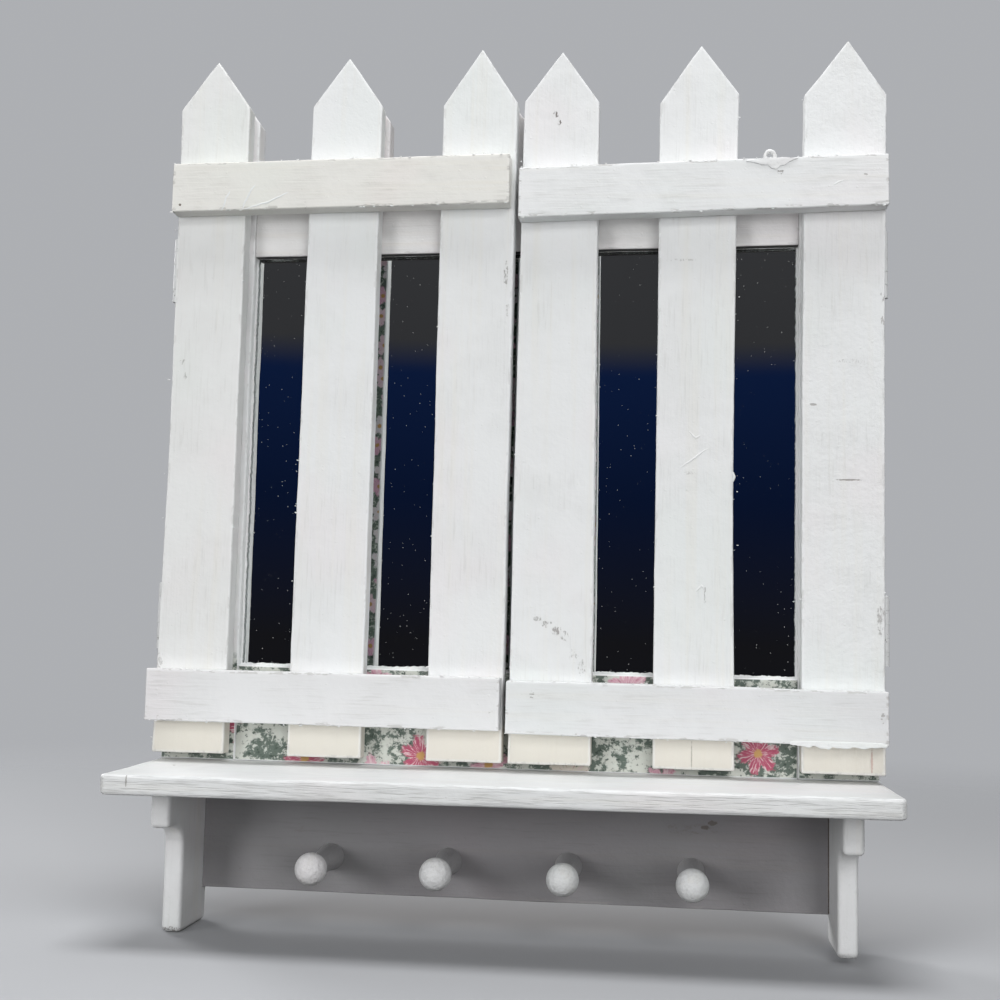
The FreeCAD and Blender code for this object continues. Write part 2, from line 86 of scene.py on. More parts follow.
# How the made piece departs from the true solids
SHELF_TWIST = 0.9 * MM         # the shelf's front edge: its left end hangs, its right end lifts
SHELF_DROOP = 0.3 * MM         # and its middle hangs a little
HEAD_TRIM = 4.2 * MM           # how much narrower the right stile's head is, on its inner side
GLASS_SHOW = 2.0 * MM          # how deep the silver seems to lie behind the glass's face
FOOT_HEIGHT = 19.0 * MM        # the cream feet under the doors' lower rails
WAVE = 0.28 * MM               # slow waves in a board's faces
DENT = 0.08 * MM               # short dents in its faces
EDGE_DENT = 0.22 * MM          # and more of them on its edges
WAVE_RATE, DENT_RATE = 17, 85  # waves and dents to the metre
BARE_SHARE = 0.2               # a bare back has this share of them
EDGE_REACH = 2.2 * MM          # how far the edges' painted highlight and wear reach from an edge
EDGE_CUT = 2.4 * MM            # cuts that keep the highlight and wear there
MARK_DEPTH = 3.0 * MM          # how deep a mark's colour reaches behind a board's face
PAINT_SKIN = 0.3 * MM          # crumbs of paint sit this far inside a front edge
FOOT_FADE = 2.0 * MM           # half the width in which the feet's cream begins
SHANK_FADE = 1.5 * MM          # and the painted shade on the pegs' shanks
SPLIT_REACH = (2.2 * MM, 1.0 * MM)
SLOP_REACH = (1.5 * MM, 3.0 * MM)
PAINT_RELIEF = 0.4 * MM

# Points this close to a face count as on it
TOUCH = 0.01 * MM
FACE_SKIN = 0.05 * MM
BACK_SKIN = 0.2 * MM
EDGE_SKIN = 0.5 * MM
UNDER_SKIN = 0.3 * MM
PAST = 1.0 * MM                # how far a cutter sticks out of what it cuts
OVERLAP = 0.1 * MM             # and how far it reaches into the next one

# Each piece's paint has a seed of its own, and so has each run of random draws
FIRST_SEED, SEED_STEP = 1.0, 5.3
PEG_SEED, PEG_SEED_STEP = 40.0, 2.1
FLAP_SEED, LOOP_SEED, SAG_SEED, CRUST_SEED, RUN_SEED = 3.0, 5.0, 8.0, 31.0, 77.0
SAG_DRAWS, CRUMB_DRAWS, RUN_DRAWS = 5, 23, 11

# How each hand-cut picket departs from a true one, in mm: its tip (across, up), its two shoulders (up),
# and its left and right edges (across, at the foot, halfway and at the shoulder)
PICKET_CUT = {
    "left_hinge_picket": ((0.6, -1.1), (0.0, 0.6), (0.4, 2.0, 0.6), (0.0, 0.0, -0.4)),
    "left_middle_picket": ((1.2, -1.1), (0.4, -0.3), (0.0, 0.6, 1.4), (-0.2, 0.2, 0.4)),
    "left_meeting_picket": ((0.9, 2.3), (-0.6, 0.3), (0.1, 0.1, 0.1), (0.0, 0.3, 0.8)),
    "right_meeting_picket": ((0.3, -0.6), (0.5, -0.7), (-0.4, 0.0, 1.0), (0.7, 0.2, -0.5)),
    "right_middle_picket": ((0.5, 1.1), (-2.2, 2.6), (-0.2, -0.2, -0.2), (-0.7, -2.2, -0.4)),
    "right_hinge_picket": ((3.7, 1.7), (0.5, 0.4), (0.4, 0.4, 1.6), (0.2, 0.4, 2.2)),
}

# Paint, what shows through it, and painted light and shade
WHITE = (0.80, 0.815, 0.82, 1)
PINK_WHITE = (0.82, 0.775, 0.79, 1)
GREEN_WHITE = (0.76, 0.81, 0.79, 1)
SHADE_WHITE = (0.69, 0.70, 0.695, 1)
# a lighter white that stands in for light: painted highlights on edges, and the lit look of the brackets and
# peg balls
LIT_WHITE = (0.87, 0.88, 0.89, 1)
THIN_WHITE = (0.53, 0.53, 0.51, 1)
CREAM = (0.78, 0.765, 0.70, 1)
FOOT_CREAM = (0.74, 0.70, 0.61, 1)
# painted shade: the pegs' shanks are darkened where the shelf's shade falls behind the balls
SHANK_SHADE = (0.53, 0.525, 0.535, 1)
# the peg board's grey: partly its own darker paint, partly painted shade from the shelf above
PEG_BOARD_GREY_AND_SHADE = (0.30, 0.291, 0.304, 1)
# the top board's pinkish white, darkened as painted shade under the doors' top rails
TOP_BOARD_PINK_AND_SHADE = (0.74, 0.725, 0.73, 1)
GRAIN_GREY = (0.36, 0.355, 0.34, 1)
RUBBED = (0.42, 0.41, 0.39, 1)
KNOCKED = (0.24, 0.21, 0.18, 1)
# near-black painted shade on the top board's lower edge over the glass
UNDER_LIP_SHADE = (0.03, 0.028, 0.026, 1)
# grey for scuffs, and for one painted shadow under the paint flap
SCUFF_AND_SHADOW = (0.25, 0.23, 0.22, 1)
CHIP = (0.13, 0.10, 0.08, 1)
PINK_LINE = (0.55, 0.33, 0.30, 1)
WOOD = (0.50, 0.34, 0.19, 1)
DARK_WOOD = (0.30, 0.18, 0.09, 1)
HINGE_METAL = (0.12, 0.11, 0.10, 1)

# The generic leaf and flower design
LEAF = (0.115, 0.15, 0.125, 1)
PALE_LEAF = (0.62, 0.65, 0.60, 1)
DEEP_LEAF = (0.035, 0.06, 0.045, 1)
PALE_STROKE = (0.78, 0.66, 0.67, 1)
DEEP_STROKE = (0.34, 0.07, 0.11, 1)
FLOWER_MIDDLE = (0.58, 0.34, 0.12, 1)
CLIMBER = {
    "leaf": 110, "bloom": 78, "petals": 5, "share": 0.9, "reach": 0.50, "ground": (0.16, 0.21, 0.17, 1),
    "hues": ((0.80, 0.60, 0.68, 1), (0.80, 0.77, 0.80, 1), (0.72, 0.40, 0.55, 1)),
}
BED = {
    "leaf": 75, "bloom": 27, "petals": 6, "share": 0.8, "reach": 0.34, "ground": (0.60, 0.62, 0.57, 1),
    "hues": ((0.66, 0.38, 0.46, 1), (0.48, 0.09, 0.16, 1), (0.74, 0.69, 0.60, 1)),
}

# Glass, hardboard and steel
SILVER = (0.86, 0.885, 0.88, 1)
SMEARED_SILVER = (0.80, 0.83, 0.83, 1)
DUST = (0.75, 0.75, 0.74, 1)
FIBRE_DARK = (0.20, 0.115, 0.055, 1)
FIBRE_LIGHT = (0.33, 0.20, 0.10, 1)
FIBRE_STAIN = (0.15, 0.085, 0.045, 1)
STEEL = (0.52, 0.51, 0.49, 1)
RUST = (0.27, 0.17, 0.10, 1)


# Node trees

class Nodes:
    """Short words for the nodes of one node tree."""

    def __init__(self, tree):
        self.nodes = tree.nodes
        self.links = tree.links

    def feed(self, socket, value):
        if isinstance(value, bpy.types.NodeSocket):
            self.links.new(value, socket)
        else:
            socket.default_value = value

    def node(self, kind, values=None, **settings):
        made = self.nodes.new(kind)
        for key, value in settings.items():
            setattr(made, key, value)
        for key, value in (values or {}).items():
            self.feed(made.inputs[key], value)
        return made

    def mix(self, factor, a, b):
        return self.node("ShaderNodeMix", {0: factor, 6: a, 7: b}, data_type="RGBA").outputs[2]

    def axes(self, vector):
        return self.node("ShaderNodeSeparateXYZ", {0: vector}).outputs

    def ray(self, kind):
        return self.node("ShaderNodeLightPath").outputs[kind]


class Look(Nodes):
    """One node material; its textures are read in the piece's own metres."""

    def __init__(self, name):
        self.material = bpy.data.materials.new(name)
        self.material.use_nodes = True
        super().__init__(self.material.node_tree)
        self.shader = self.nodes["Principled BSDF"]
        self.place = self.nodes.new("ShaderNodeTexCoord").outputs["Object"]

    def stretched(self, scale, shift=0.0):
        values = {"Vector": self.place, "Scale": scale, "Location": (shift, shift * 0.7, shift * 1.3)}
        return self.node("ShaderNodeMapping", values).outputs[0]

    def noise(self, vector, scale, detail=3.0, roughness=0.5):
        values = {"Vector": vector, "Scale": scale, "Detail": detail, "Roughness": roughness}
        return self.node("ShaderNodeTexNoise", values).outputs[0]

    def cells(self, vector, scale):
        """Distances to scattered points, and a chance for each point."""
        made = self.node("ShaderNodeTexVoronoi", {"Vector": vector, "Scale": scale}).outputs
        return made["Distance"], self.chances(made["Color"])[0]

    def chances(self, colour):
        return self.node("ShaderNodeSeparateColor", {0: colour}).outputs

    def ramp(self, value, start, stop, low=0.0, high=1.0):
        values = {"Value": value, "From Min": start, "From Max": stop, "To Min": low, "To Max": high}
        return self.node("ShaderNodeMapRange", values, interpolation_type="SMOOTHSTEP").outputs[0]

    def math(self, operation, a, b=0.0):
        return self.node("ShaderNodeMath", {0: a, 1: b}, operation=operation).outputs[0]

    def plus(self, a, b):
        return self.math("ADD", a, b)

    def minus(self, a, b):
        return self.math("SUBTRACT", a, b)

    def times(self, a, b):
        return self.math("MULTIPLY", a, b)

    def vector(self, operation, a, b):
        return self.node("ShaderNodeVectorMath", {0: a, 1: b}, operation=operation).outputs[0]

    def length(self, vector):
        return self.node("ShaderNodeVectorMath", {0: vector}, operation="LENGTH").outputs["Value"]

    def attribute(self, name):
        return self.node("ShaderNodeAttribute", attribute_name=name).outputs["Fac"]

    def coat(self, colour, rough):
        self.feed(self.shader.inputs["Base Color"], colour)
        self.feed(self.shader.inputs["Roughness"], rough)

    def emboss(self, height, strength, distance):
        values = {"Height": height, "Strength": strength, "Distance": distance}
        self.feed(self.shader.inputs["Normal"], self.node("ShaderNodeBump", values).outputs[0])

    def spot(self, centre, radii, seed):
        """A ragged mask round one place."""
        away = self.vector("DIVIDE", self.vector("SUBTRACT", self.place, centre), radii)
        ragged = self.noise(self.stretched((1, 1, 1), seed), 700, 3, 0.6)
        far = self.plus(self.length(away), self.times(self.minus(ragged, 0.5), 1.3))
        return self.ramp(far, 1.0, 0.75)


# Painted wood

def toned(colour, tone):
    """One of the paint's colours, made darker or lighter with the board's tone, which on some boards holds
    painted shade.
    """
    return tuple(c * t / w for c, t, w in zip(colour, tone, WHITE))


class Paint(Look):
    """White brushed paint over wood, built up coat by coat, with painted highlights and painted shade among
    its coats.
    """

    def __init__(self, name, along, seed):
        super().__init__(name)
        self.along = along
        self.seed = seed
        self.side = self.axes(self.place)
        self.even = self.stretched((1, 1, 1), seed + 5)
        self.cloud = self.noise(self.even, 24, 3, 0.6)
        self.streak = self.noise(self.grain(0.03, 0), 150, 3, 0.6)
        self.hair = self.noise(self.grain(0.06, 3), 700, 2, 0.6)
        self.fray = self.noise(self.grain(0.3, 9), 260, 3, 0.7)

    def grain(self, stretch, shift):
        """Places that change slowly along the wood's grain."""
        scale = tuple(stretch if axis == self.along else 1.0 for axis in "XYZ")
        return self.stretched(scale, self.seed + shift)

    def stain(self, mask, colour):
        self.colour = self.mix(mask, self.colour, colour)

    def dig(self, depth):
        self.height = self.minus(self.height, depth)

    def brush_on(self, tone, lumps, brushed):
        drift = self.noise(self.even, 11, 2, 0.5)
        self.colour = self.mix(self.ramp(self.cloud, 0.36, 0.72, 0.0, 0.38), tone, toned(SHADE_WHITE, tone))
        self.stain(self.ramp(drift, 0.52, 0.66, 0.0, 0.35), toned(PINK_WHITE, tone))
        self.stain(self.ramp(drift, 0.48, 0.34, 0.0, 0.35), toned(GREEN_WHITE, tone))
        self.stain(self.ramp(self.streak, 0.48, 0.75, 0.0, 0.3), toned(CREAM, tone))
        strong = self.ramp(self.cloud, 0.40, 0.62, 0.15, 1.0)
        lines = self.times(self.ramp(self.hair, 0.52, 0.72, 0.0, 0.22 * brushed), strong)
        self.stain(lines, toned(THIN_WHITE, tone))
        strokes = self.plus(self.times(self.hair, 0.45), self.times(self.streak, 0.5))
        strokes = self.times(strokes, self.times(strong, brushed))
        peel = self.noise(self.even, 330, 3, 0.65)
        swell = self.plus(self.times(self.cloud, 1.8), self.times(peel, lumps))
        far, chance = self.cells(self.even, 330.0)
        grit = self.times(self.ramp(far, 0.24, 0.10), self.ramp(chance, 0.84, 0.90))
        self.height = self.plus(self.plus(strokes, swell), self.times(grit, 0.28))

    def split_grain(self, face, strength):
        """Open grain that shows as dark lines on a front edge."""
        split = self.ramp(self.noise(self.grain(0.035, 8), 1700, 2, 0.6), 0.48, 0.68, 0.0, strength)
        start, stop = (face + reach for reach in SPLIT_REACH)
        split = self.times(split, self.ramp(self.side["Y"], start, stop))
        self.stain(split, GRAIN_GREY)
        self.dig(self.times(split, 1.6))

    def highlight_and_wear(self, tone, worn):
        """A painted highlight along the edges, and paint rubbed through here and there."""
        edge = self.attribute("edge")
        self.stain(self.ramp(edge, 0.15, 0.75, 0.0, 0.45), toned(LIT_WHITE, tone))
        rubbed = self.times(self.ramp(edge, 0.1, 0.6), self.ramp(self.fray, 0.54, 0.60, 0.0, worn))
        self.stain(rubbed, RUBBED)
        knocked = self.times(self.ramp(edge, 0.55, 0.8), self.ramp(self.fray, 0.68, 0.71, 0.0, worn))
        self.stain(knocked, KNOCKED)
        self.dig(self.plus(rubbed, knocked))

    def add_marks(self, marks):
        scrape = self.noise(self.grain(0.35, 11), 900, 3, 0.65)
        for number, (centre, radii, strength, colour) in enumerate(marks):
            mask = self.spot(centre, radii, self.seed + number * 0.37)
            if colour == SCUFF_AND_SHADOW:
                mask = self.times(mask, self.ramp(scrape, 0.50, 0.58))
            mask = self.times(mask, strength)
            self.stain(mask, colour)
            self.dig(mask)

    def finish(self):
        """The bare back with paint slopped round its rim, then relief and gloss."""
        slop = self.plus(self.attribute("rim"), self.times(self.minus(self.fray, 0.5), 0.02))
        bare = self.times(self.attribute("bare"), self.ramp(slop, *SLOP_REACH))
        self.stain(bare, self.mix(self.ramp(self.streak, 0.35, 0.68), WOOD, DARK_WOOD))
        self.emboss(self.height, 0.75, PAINT_RELIEF)
        dull = self.plus(self.hair, self.times(bare, 0.6))
        self.coat(self.colour, self.ramp(dull, 0.3, 1.0, 0.45, 0.78))
        self.shader.inputs["Specular IOR Level"].default_value = 0.4
        return self.material


def painted_wood(name, along, seed, tone=WHITE, marks=(), worn=0.25, art=None, foot=None, ridge=None,
                 lumps=0.6, brushed=1.0, shank=None):
    """One piece's paint: worn, lumps and brushed are strengths; foot places the cream feet, shank a peg's
    painted shade.
    """
    paint = Paint(name, along, seed)
    paint.brush_on(tone, lumps, brushed)
    if ridge:
        paint.split_grain(*ridge)
    if foot is not None:
        paint.stain(paint.ramp(paint.side["Z"], foot + FOOT_FADE, foot - FOOT_FADE, 0.0, 0.8), FOOT_CREAM)
    # a peg's shank behind its ball gets painted shade
    if shank is not None:
        paint.stain(paint.ramp(paint.side["Y"], shank - SHANK_FADE, shank + SHANK_FADE), SHANK_SHADE)
    paint.highlight_and_wear(tone, worn)
    paint.add_marks(marks)
    if art:
        paint.stain(paint.attribute("art"), garden(paint, seed, **art))
    # the top board's lower edge over the glass gets a near-black painted shade
    paint.stain(paint.attribute("painted_shade"), UNDER_LIP_SHADE)
    return paint.finish()


def flowers(look, flat, scale, radius, petals, seed):
    """Simple round-petalled flowers, one to a cell: petals, middles, strokes and a chance for each flower."""
    shifted = look.vector("ADD", flat, (seed, seed * 0.6, 0))
    values = {"Vector": shifted, "Scale": scale, "Randomness": 0.75}
    cells = look.node("ShaderNodeTexVoronoi", values, voronoi_dimensions="2D").outputs
    away = look.vector("SUBTRACT", shifted, cells["Position"])
    chance = look.chances(cells["Color"])
    far = look.length(away)
    side = look.axes(away)
    turn = look.plus(look.math("ARCTAN2", side[1], side[0]), look.times(chance[0], 6.28))
    wave = look.math("ABSOLUTE", look.math("COSINE", look.times(turn, petals / 2)))
    reach = look.times(look.plus(look.times(wave, 0.42), 0.58), radius)
    ragged = look.minus(look.noise(flat, 420, 4, 0.7), 0.5)
    gap = look.plus(look.minus(far, reach), look.times(ragged, radius * 0.8))
    spokes = {0: look.times(turn, 3.0), 1: look.math("DIVIDE", far, radius)}
    strokes = look.noise(look.node("ShaderNodeCombineXYZ", spokes).outputs[0], 2.4, 3, 0.6)
    middle = look.ramp(look.plus(far, look.times(ragged, radius * 0.3)), radius * 0.24, radius * 0.14)
    return look.ramp(gap, 0.0, -radius * 0.15), middle, strokes, chance


def garden(look, seed, leaf, bloom, petals, share, ground, reach, hues):
    """A plain sponge-painted leaf ground with scattered simple flowers."""
    side = look.axes(look.place)
    flat = look.node("ShaderNodeCombineXYZ", {0: side[0], 1: side[2]}).outputs[0]
    sponge = look.noise(flat, leaf, 5, 0.72)
    fleck = look.noise(flat, leaf * 3.1, 4, 0.7)
    colour = look.mix(look.ramp(sponge, 0.47, 0.53), ground, LEAF)
    colour = look.mix(look.ramp(fleck, 0.54, 0.60, 0.0, 0.85), colour, PALE_LEAF)
    colour = look.mix(look.ramp(fleck, 0.43, 0.36, 0.0, 0.9), colour, DEEP_LEAF)
    petal, middle, strokes, chance = flowers(look, flat, bloom, reach / bloom, petals, seed)
    petal = look.times(petal, look.ramp(chance[1], 1.0 - share, 1.02 - share))
    hue = look.mix(look.ramp(chance[2], 0.40, 0.46), hues[0], hues[1])
    hue = look.mix(look.ramp(chance[2], 0.74, 0.78), hue, hues[2])
    hue = look.mix(look.ramp(strokes, 0.50, 0.62, 0.0, 0.8), hue, PALE_STROKE)
    hue = look.mix(look.ramp(strokes, 0.42, 0.34, 0.0, 0.6), hue, DEEP_STROKE)
    colour = look.mix(petal, colour, hue)
    return look.mix(look.times(middle, petal), colour, FLOWER_MIDDLE)


# Other materials

def silvered_glass():
    """Mirror glass with faint smears and dust."""
    look = Look("silvered_glass")
    smear = look.noise(look.stretched((1.0, 1.0, 0.3), 1.0), 30, 4, 0.6)
    far, chance = look.cells(look.place, 520.0)
    dust = look.times(look.ramp(far, 0.10, 0.06), look.ramp(chance, 0.58, 0.66))
    dust = look.times(dust, look.ramp(look.noise(look.place, 25, 2), 0.40, 0.56))
    colour = look.mix(look.ramp(smear, 0.3, 0.8, 0.0, 0.5), SILVER, SMEARED_SILVER)
    rough = look.plus(look.ramp(smear, 0.4, 0.8, 0.012, 0.03), look.times(dust, 0.6))
    look.coat(look.mix(dust, colour, DUST), rough)
    look.feed(look.shader.inputs["Metallic"], look.minus(1.0, dust))
    return look.material


def hardboard():
    look = Look("hardboard")
    fibre = look.noise(look.place, 900, 5, 0.7)
    cloud = look.noise(look.place, 18, 3)
    colour = look.mix(look.ramp(fibre, 0.35, 0.7), FIBRE_DARK, FIBRE_LIGHT)
    colour = look.mix(look.ramp(cloud, 0.45, 0.75, 0.0, 0.4), colour, FIBRE_STAIN)
    look.coat(colour, look.ramp(fibre, 0.3, 0.7, 0.6, 0.85))
    look.emboss(fibre, 0.5, 0.3 * MM)
    return look.material


def steel():
    look = Look("fastener_steel")
    scratch = look.noise(look.place, 1500, 4, 0.6)
    rust = look.noise(look.place, 500, 3, 0.6)
    look.coat(look.mix(look.ramp(rust, 0.52, 0.7), STEEL, RUST), look.ramp(scratch, 0.3, 0.7, 0.3, 0.6))
    look.shader.inputs["Metallic"].default_value = 0.9
    return look.material


def bare_wood():
    look = Look("bare_wood")
    ring = look.noise(look.stretched((0.05, 1, 1)), 300, 4, 0.6)
    look.coat(look.mix(look.ramp(ring, 0.35, 0.7), WOOD, DARK_WOOD), look.ramp(ring, 0.3, 0.7, 0.55, 0.75))
    look.emboss(ring, 0.3, 0.3 * MM)
    return look.material


def painted_hinge():
    """Thick brush paint over a steel hinge, chipped to dark metal here and there."""
    look = Look("painted_hinge")
    cloud = look.noise(look.place, 160, 4, 0.6)
    chip = look.noise(look.stretched((1, 1, 1), 6.0), 420, 3, 0.6)
    colour = look.mix(look.ramp(cloud, 0.4, 0.7, 0.0, 0.6), WHITE, SHADE_WHITE)
    colour = look.mix(look.ramp(chip, 0.66, 0.7), colour, HINGE_METAL)
    look.coat(colour, look.ramp(cloud, 0.3, 0.7, 0.35, 0.6))
    look.emboss(cloud, 0.6, 0.5 * MM)
    return look.material


# Meshes

PLACE = {
    "X": lambda a, b, c: Vector((c, a, b)),
    "Y": lambda a, b, c: Vector((a, c, b)),
    "Z": lambda a, b, c: Vector((a, b, c)),
}
FLAT = {
    "X": lambda p: (p.y, p.z, p.x),
    "Y": lambda p: (p.x, p.z, p.y),
    "Z": lambda p: (p.x, p.y, p.z),
}


def arc(centre, radius, start, stop, steps):
    """Points along a round stretch, between two angles in degrees."""
    turns = [math.radians(start + (stop - start) * i / steps) for i in range(steps + 1)]
    return [(centre[0] + radius * math.cos(t), centre[1] + radius * math.sin(t)) for t in turns]


def sides(outline):
    for i, start in enumerate(outline):
        yield Vector(start), Vector(outline[(i + 1) % len(outline)])


def prism(outline, low, high, axis):
    """A closed mesh: a flat outline pushed from low to high along an axis."""
    mesh = bmesh.new()
    ends = [[mesh.verts.new(PLACE[axis](a, b, c)) for a, b in outline] for c in (low, high)]
    mesh.faces.new(ends[0])
    mesh.faces.new(ends[1])
    for i in range(len(outline)):
        j = (i + 1) % len(outline)
        mesh.faces.new((ends[0][i], ends[0][j], ends[1][j], ends[1][i]))
    bmesh.ops.recalc_face_normals(mesh, faces=mesh.faces)
    return mesh


def soften(mesh, radius, sharpest=0.6):
    """Rounds every edge that turns by more than an angle in radians."""
    sharp = [e for e in mesh.edges if len(e.link_faces) == 2 and e.calc_face_angle() > sharpest]
    bmesh.ops.bevel(mesh, geom=sharp, offset=radius, segments=3, profile=0.5, affect="EDGES",
                    clamp_overlap=True)


def new_object(name, mesh):
    data = bpy.data.meshes.new(name)
    mesh.to_mesh(data)
    mesh.free()
    made = bpy.data.objects.new(name, data)
    bpy.context.collection.objects.link(made)
    return made


def carve(mesh, cutters):
    """Takes cutter shapes out of a mesh."""
    target = new_object("carve_body", mesh)
    tools = [new_object("carve_tool", cutter) for cutter in cutters]
    for tool in tools:
        step = target.modifiers.new("cut", "BOOLEAN")
        step.operation = "DIFFERENCE"
        step.solver = "EXACT"
        step.object = tool
    done = target.evaluated_get(bpy.context.evaluated_depsgraph_get())
    result = bmesh.new()
    result.from_mesh(done.to_mesh())
    for piece in [target] + tools:
        bpy.data.objects.remove(piece)
    return result


def cut(mesh, spot, normal):
    geometry = mesh.verts[:] + mesh.edges[:] + mesh.faces[:]
    bmesh.ops.bisect_plane(mesh, geom=geometry, plane_co=spot, plane_no=normal, dist=1e-7)


def slice_up(mesh, low, high, step):
    """Cuts a mesh into cells along its long sides, so that it can be bent and worn."""
    for i, start in enumerate(low):
        normal = Vector([1.0 if k == i else 0.0 for k in range(3)])
        if high[i] - start > 2 * step:
            for k in range(1, int((high[i] - start) / step)):
                cut(mesh, normal * (start + k * step), normal)


def inset_cuts(mesh, outline, axis, depth, shortest=12 * MM):
    """Lines along a board's long edges, so that the edges' painted highlight and wear stay close to them."""
    levels = [FLAT[axis](vertex.co)[2] for vertex in mesh.verts]
    for level in (min(levels) + depth, max(levels) - depth):
        cut(mesh, PLACE[axis](0.0, 0.0, level), PLACE[axis](0.0, 0.0, 1.0))
    for start, stop in sides(outline):
        run = stop - start
        if run.length < shortest:
            continue
        for side in (-1, 1):
            normal = Vector((-run.y, run.x)).normalized() * side
            spot = start + normal * depth
            cut(mesh, PLACE[axis](spot.x, spot.y, 0.0), PLACE[axis](normal.x, normal.y, 0.0))


def outline_distance(a, b, outline):
    point = Vector((a, b))
    found = []
    for start, stop in sides(outline):
        run = stop - start
        share = max(0.0, min(1.0, (point - start).dot(run) / run.length_squared))
        found.append((start + run * share - point).length)
    return min(found)


def to_object(mesh, name, material, attributes=None):
    piece = new_object(name, mesh)
    data = piece.data
    for key, values in (attributes or {}).items():
        layer = data.attributes.new(key, "FLOAT", "POINT")
        layer.data.foreach_set("value", values)
    data.polygons.foreach_set("use_smooth", [True] * len(data.polygons))
    data.set_sharp_from_angle(angle=math.radians(42))
    data.materials.append(material)
    even = piece.modifiers.new("even_normals", "WEIGHTED_NORMAL")
    even.keep_sharp = True
    return piece


# Hand-cut boards

def board_seeds():
    seed = FIRST_SEED
    while True:
        seed += SEED_STEP
        yield seed


seeds = board_seeds()


def board(node, outline, axis, along, body, radius=0.9, step=9.0, cutters=(), bend=None, art_face=None,
          shade_face=None, **paint):
    """A softened, slightly wavy painted board in place of a plain solid; radius and step are in mm."""
    seed = next(seeds)
    low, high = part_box(node)
    back, front = FLAT[axis](low)[2], FLAT[axis](high)[2]
    on_wall = body == "frame" and high.y > -BACK_SKIN
    mesh = prism(outline, back, front, axis)
    soften(mesh, radius * MM)
    if cutters:
        mesh = carve(mesh, cutters)
    inset_cuts(mesh, outline, axis, EDGE_CUT)
    slice_up(mesh, low, high, step * MM)
    layers = {"edge": [], "rim": [], "bare": [], "art": [], "painted_shade": []}
    for vertex in mesh.verts:
        p = vertex.co
        a, b, c = FLAT[axis](p)
        rim = outline_distance(a, b, outline)
        edge = 1.0 - min(1.0, max(rim, min(abs(c - back), abs(c - front))) / EDGE_REACH)
        bare = on_wall and p.y > high.y - BACK_SKIN
        layers["edge"].append(edge)
        layers["rim"].append(rim)
        layers["bare"].append(1.0 if bare else 0.0)
        layers["art"].append(1.0 if art_face and art_face(p, low, high) else 0.0)
        layers["painted_shade"].append(1.0 if shade_face and shade_face(p) else 0.0)
        shift = noise.noise_vector(p * WAVE_RATE + Vector((seed, seed, seed))) * WAVE
        shift += noise.noise_vector(p * DENT_RATE + Vector((seed, 0, seed))) * (DENT + EDGE_DENT * edge)
        vertex.co = p + shift * (BARE_SHARE if bare else 1.0)
        if bend:
            bend(vertex)
    look = painted_wood(f"{node}_paint", along, seed, **paint)
    piece = to_object(mesh, f"{node}_board", look, layers)
    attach(piece, body)
    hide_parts(node)


def slanted_outline(node):
    """The four corners of a board whose two ends may stand at different heights."""
    low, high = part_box(node)
    points = [v.co for v in frame["nodes"][node].data.vertices]
    left = [p.z for p in points if p.x < low.x + TOUCH]
    right = [p.z for p in points if p.x > high.x - TOUCH]
    return [(low.x, min(left)), (high.x, min(right)), (high.x, max(right)), (low.x, max(left))]


def height_at(x, left, right):
    """The height at x of the straight edge between two corners."""
    return left[1] + (right[1] - left[1]) * (x - left[0]) / (right[0] - left[0])


def picket_outline(low, high, tip=(0, 0), shoulders=(0, 0)):
    middle = (low.x + high.x) / 2 + tip[0] * MM
    left, right = (high.z - POINT + value * MM for value in shoulders)
    return [(low.x, low.z), (high.x, low.z), (high.x, right), (middle, high.z + tip[1] * MM), (low.x, left)]


def picket_warp(low, high, left, right):
    """Bows a picket's two edges."""
    def curve(values, t):
        foot, halfway, shoulder = values
        return (foot * (1 - t) * (1 - 2 * t) + halfway * 4 * t * (1 - t) + shoulder * t * (2 * t - 1)) * MM

    def bend(vertex):
        p = vertex.co
        t = min(1.0, (p.z - low.z) / (high.z - POINT - low.z))
        across = max(0.0, min(1.0, (p.x - low.x) / (high.x - low.x)))
        fade = max(0.0, min(1.0, (high.z - p.z) / POINT))
        vertex.co.x += (curve(left, t) * (1 - across) + curve(right, t) * across) * fade

    return bend
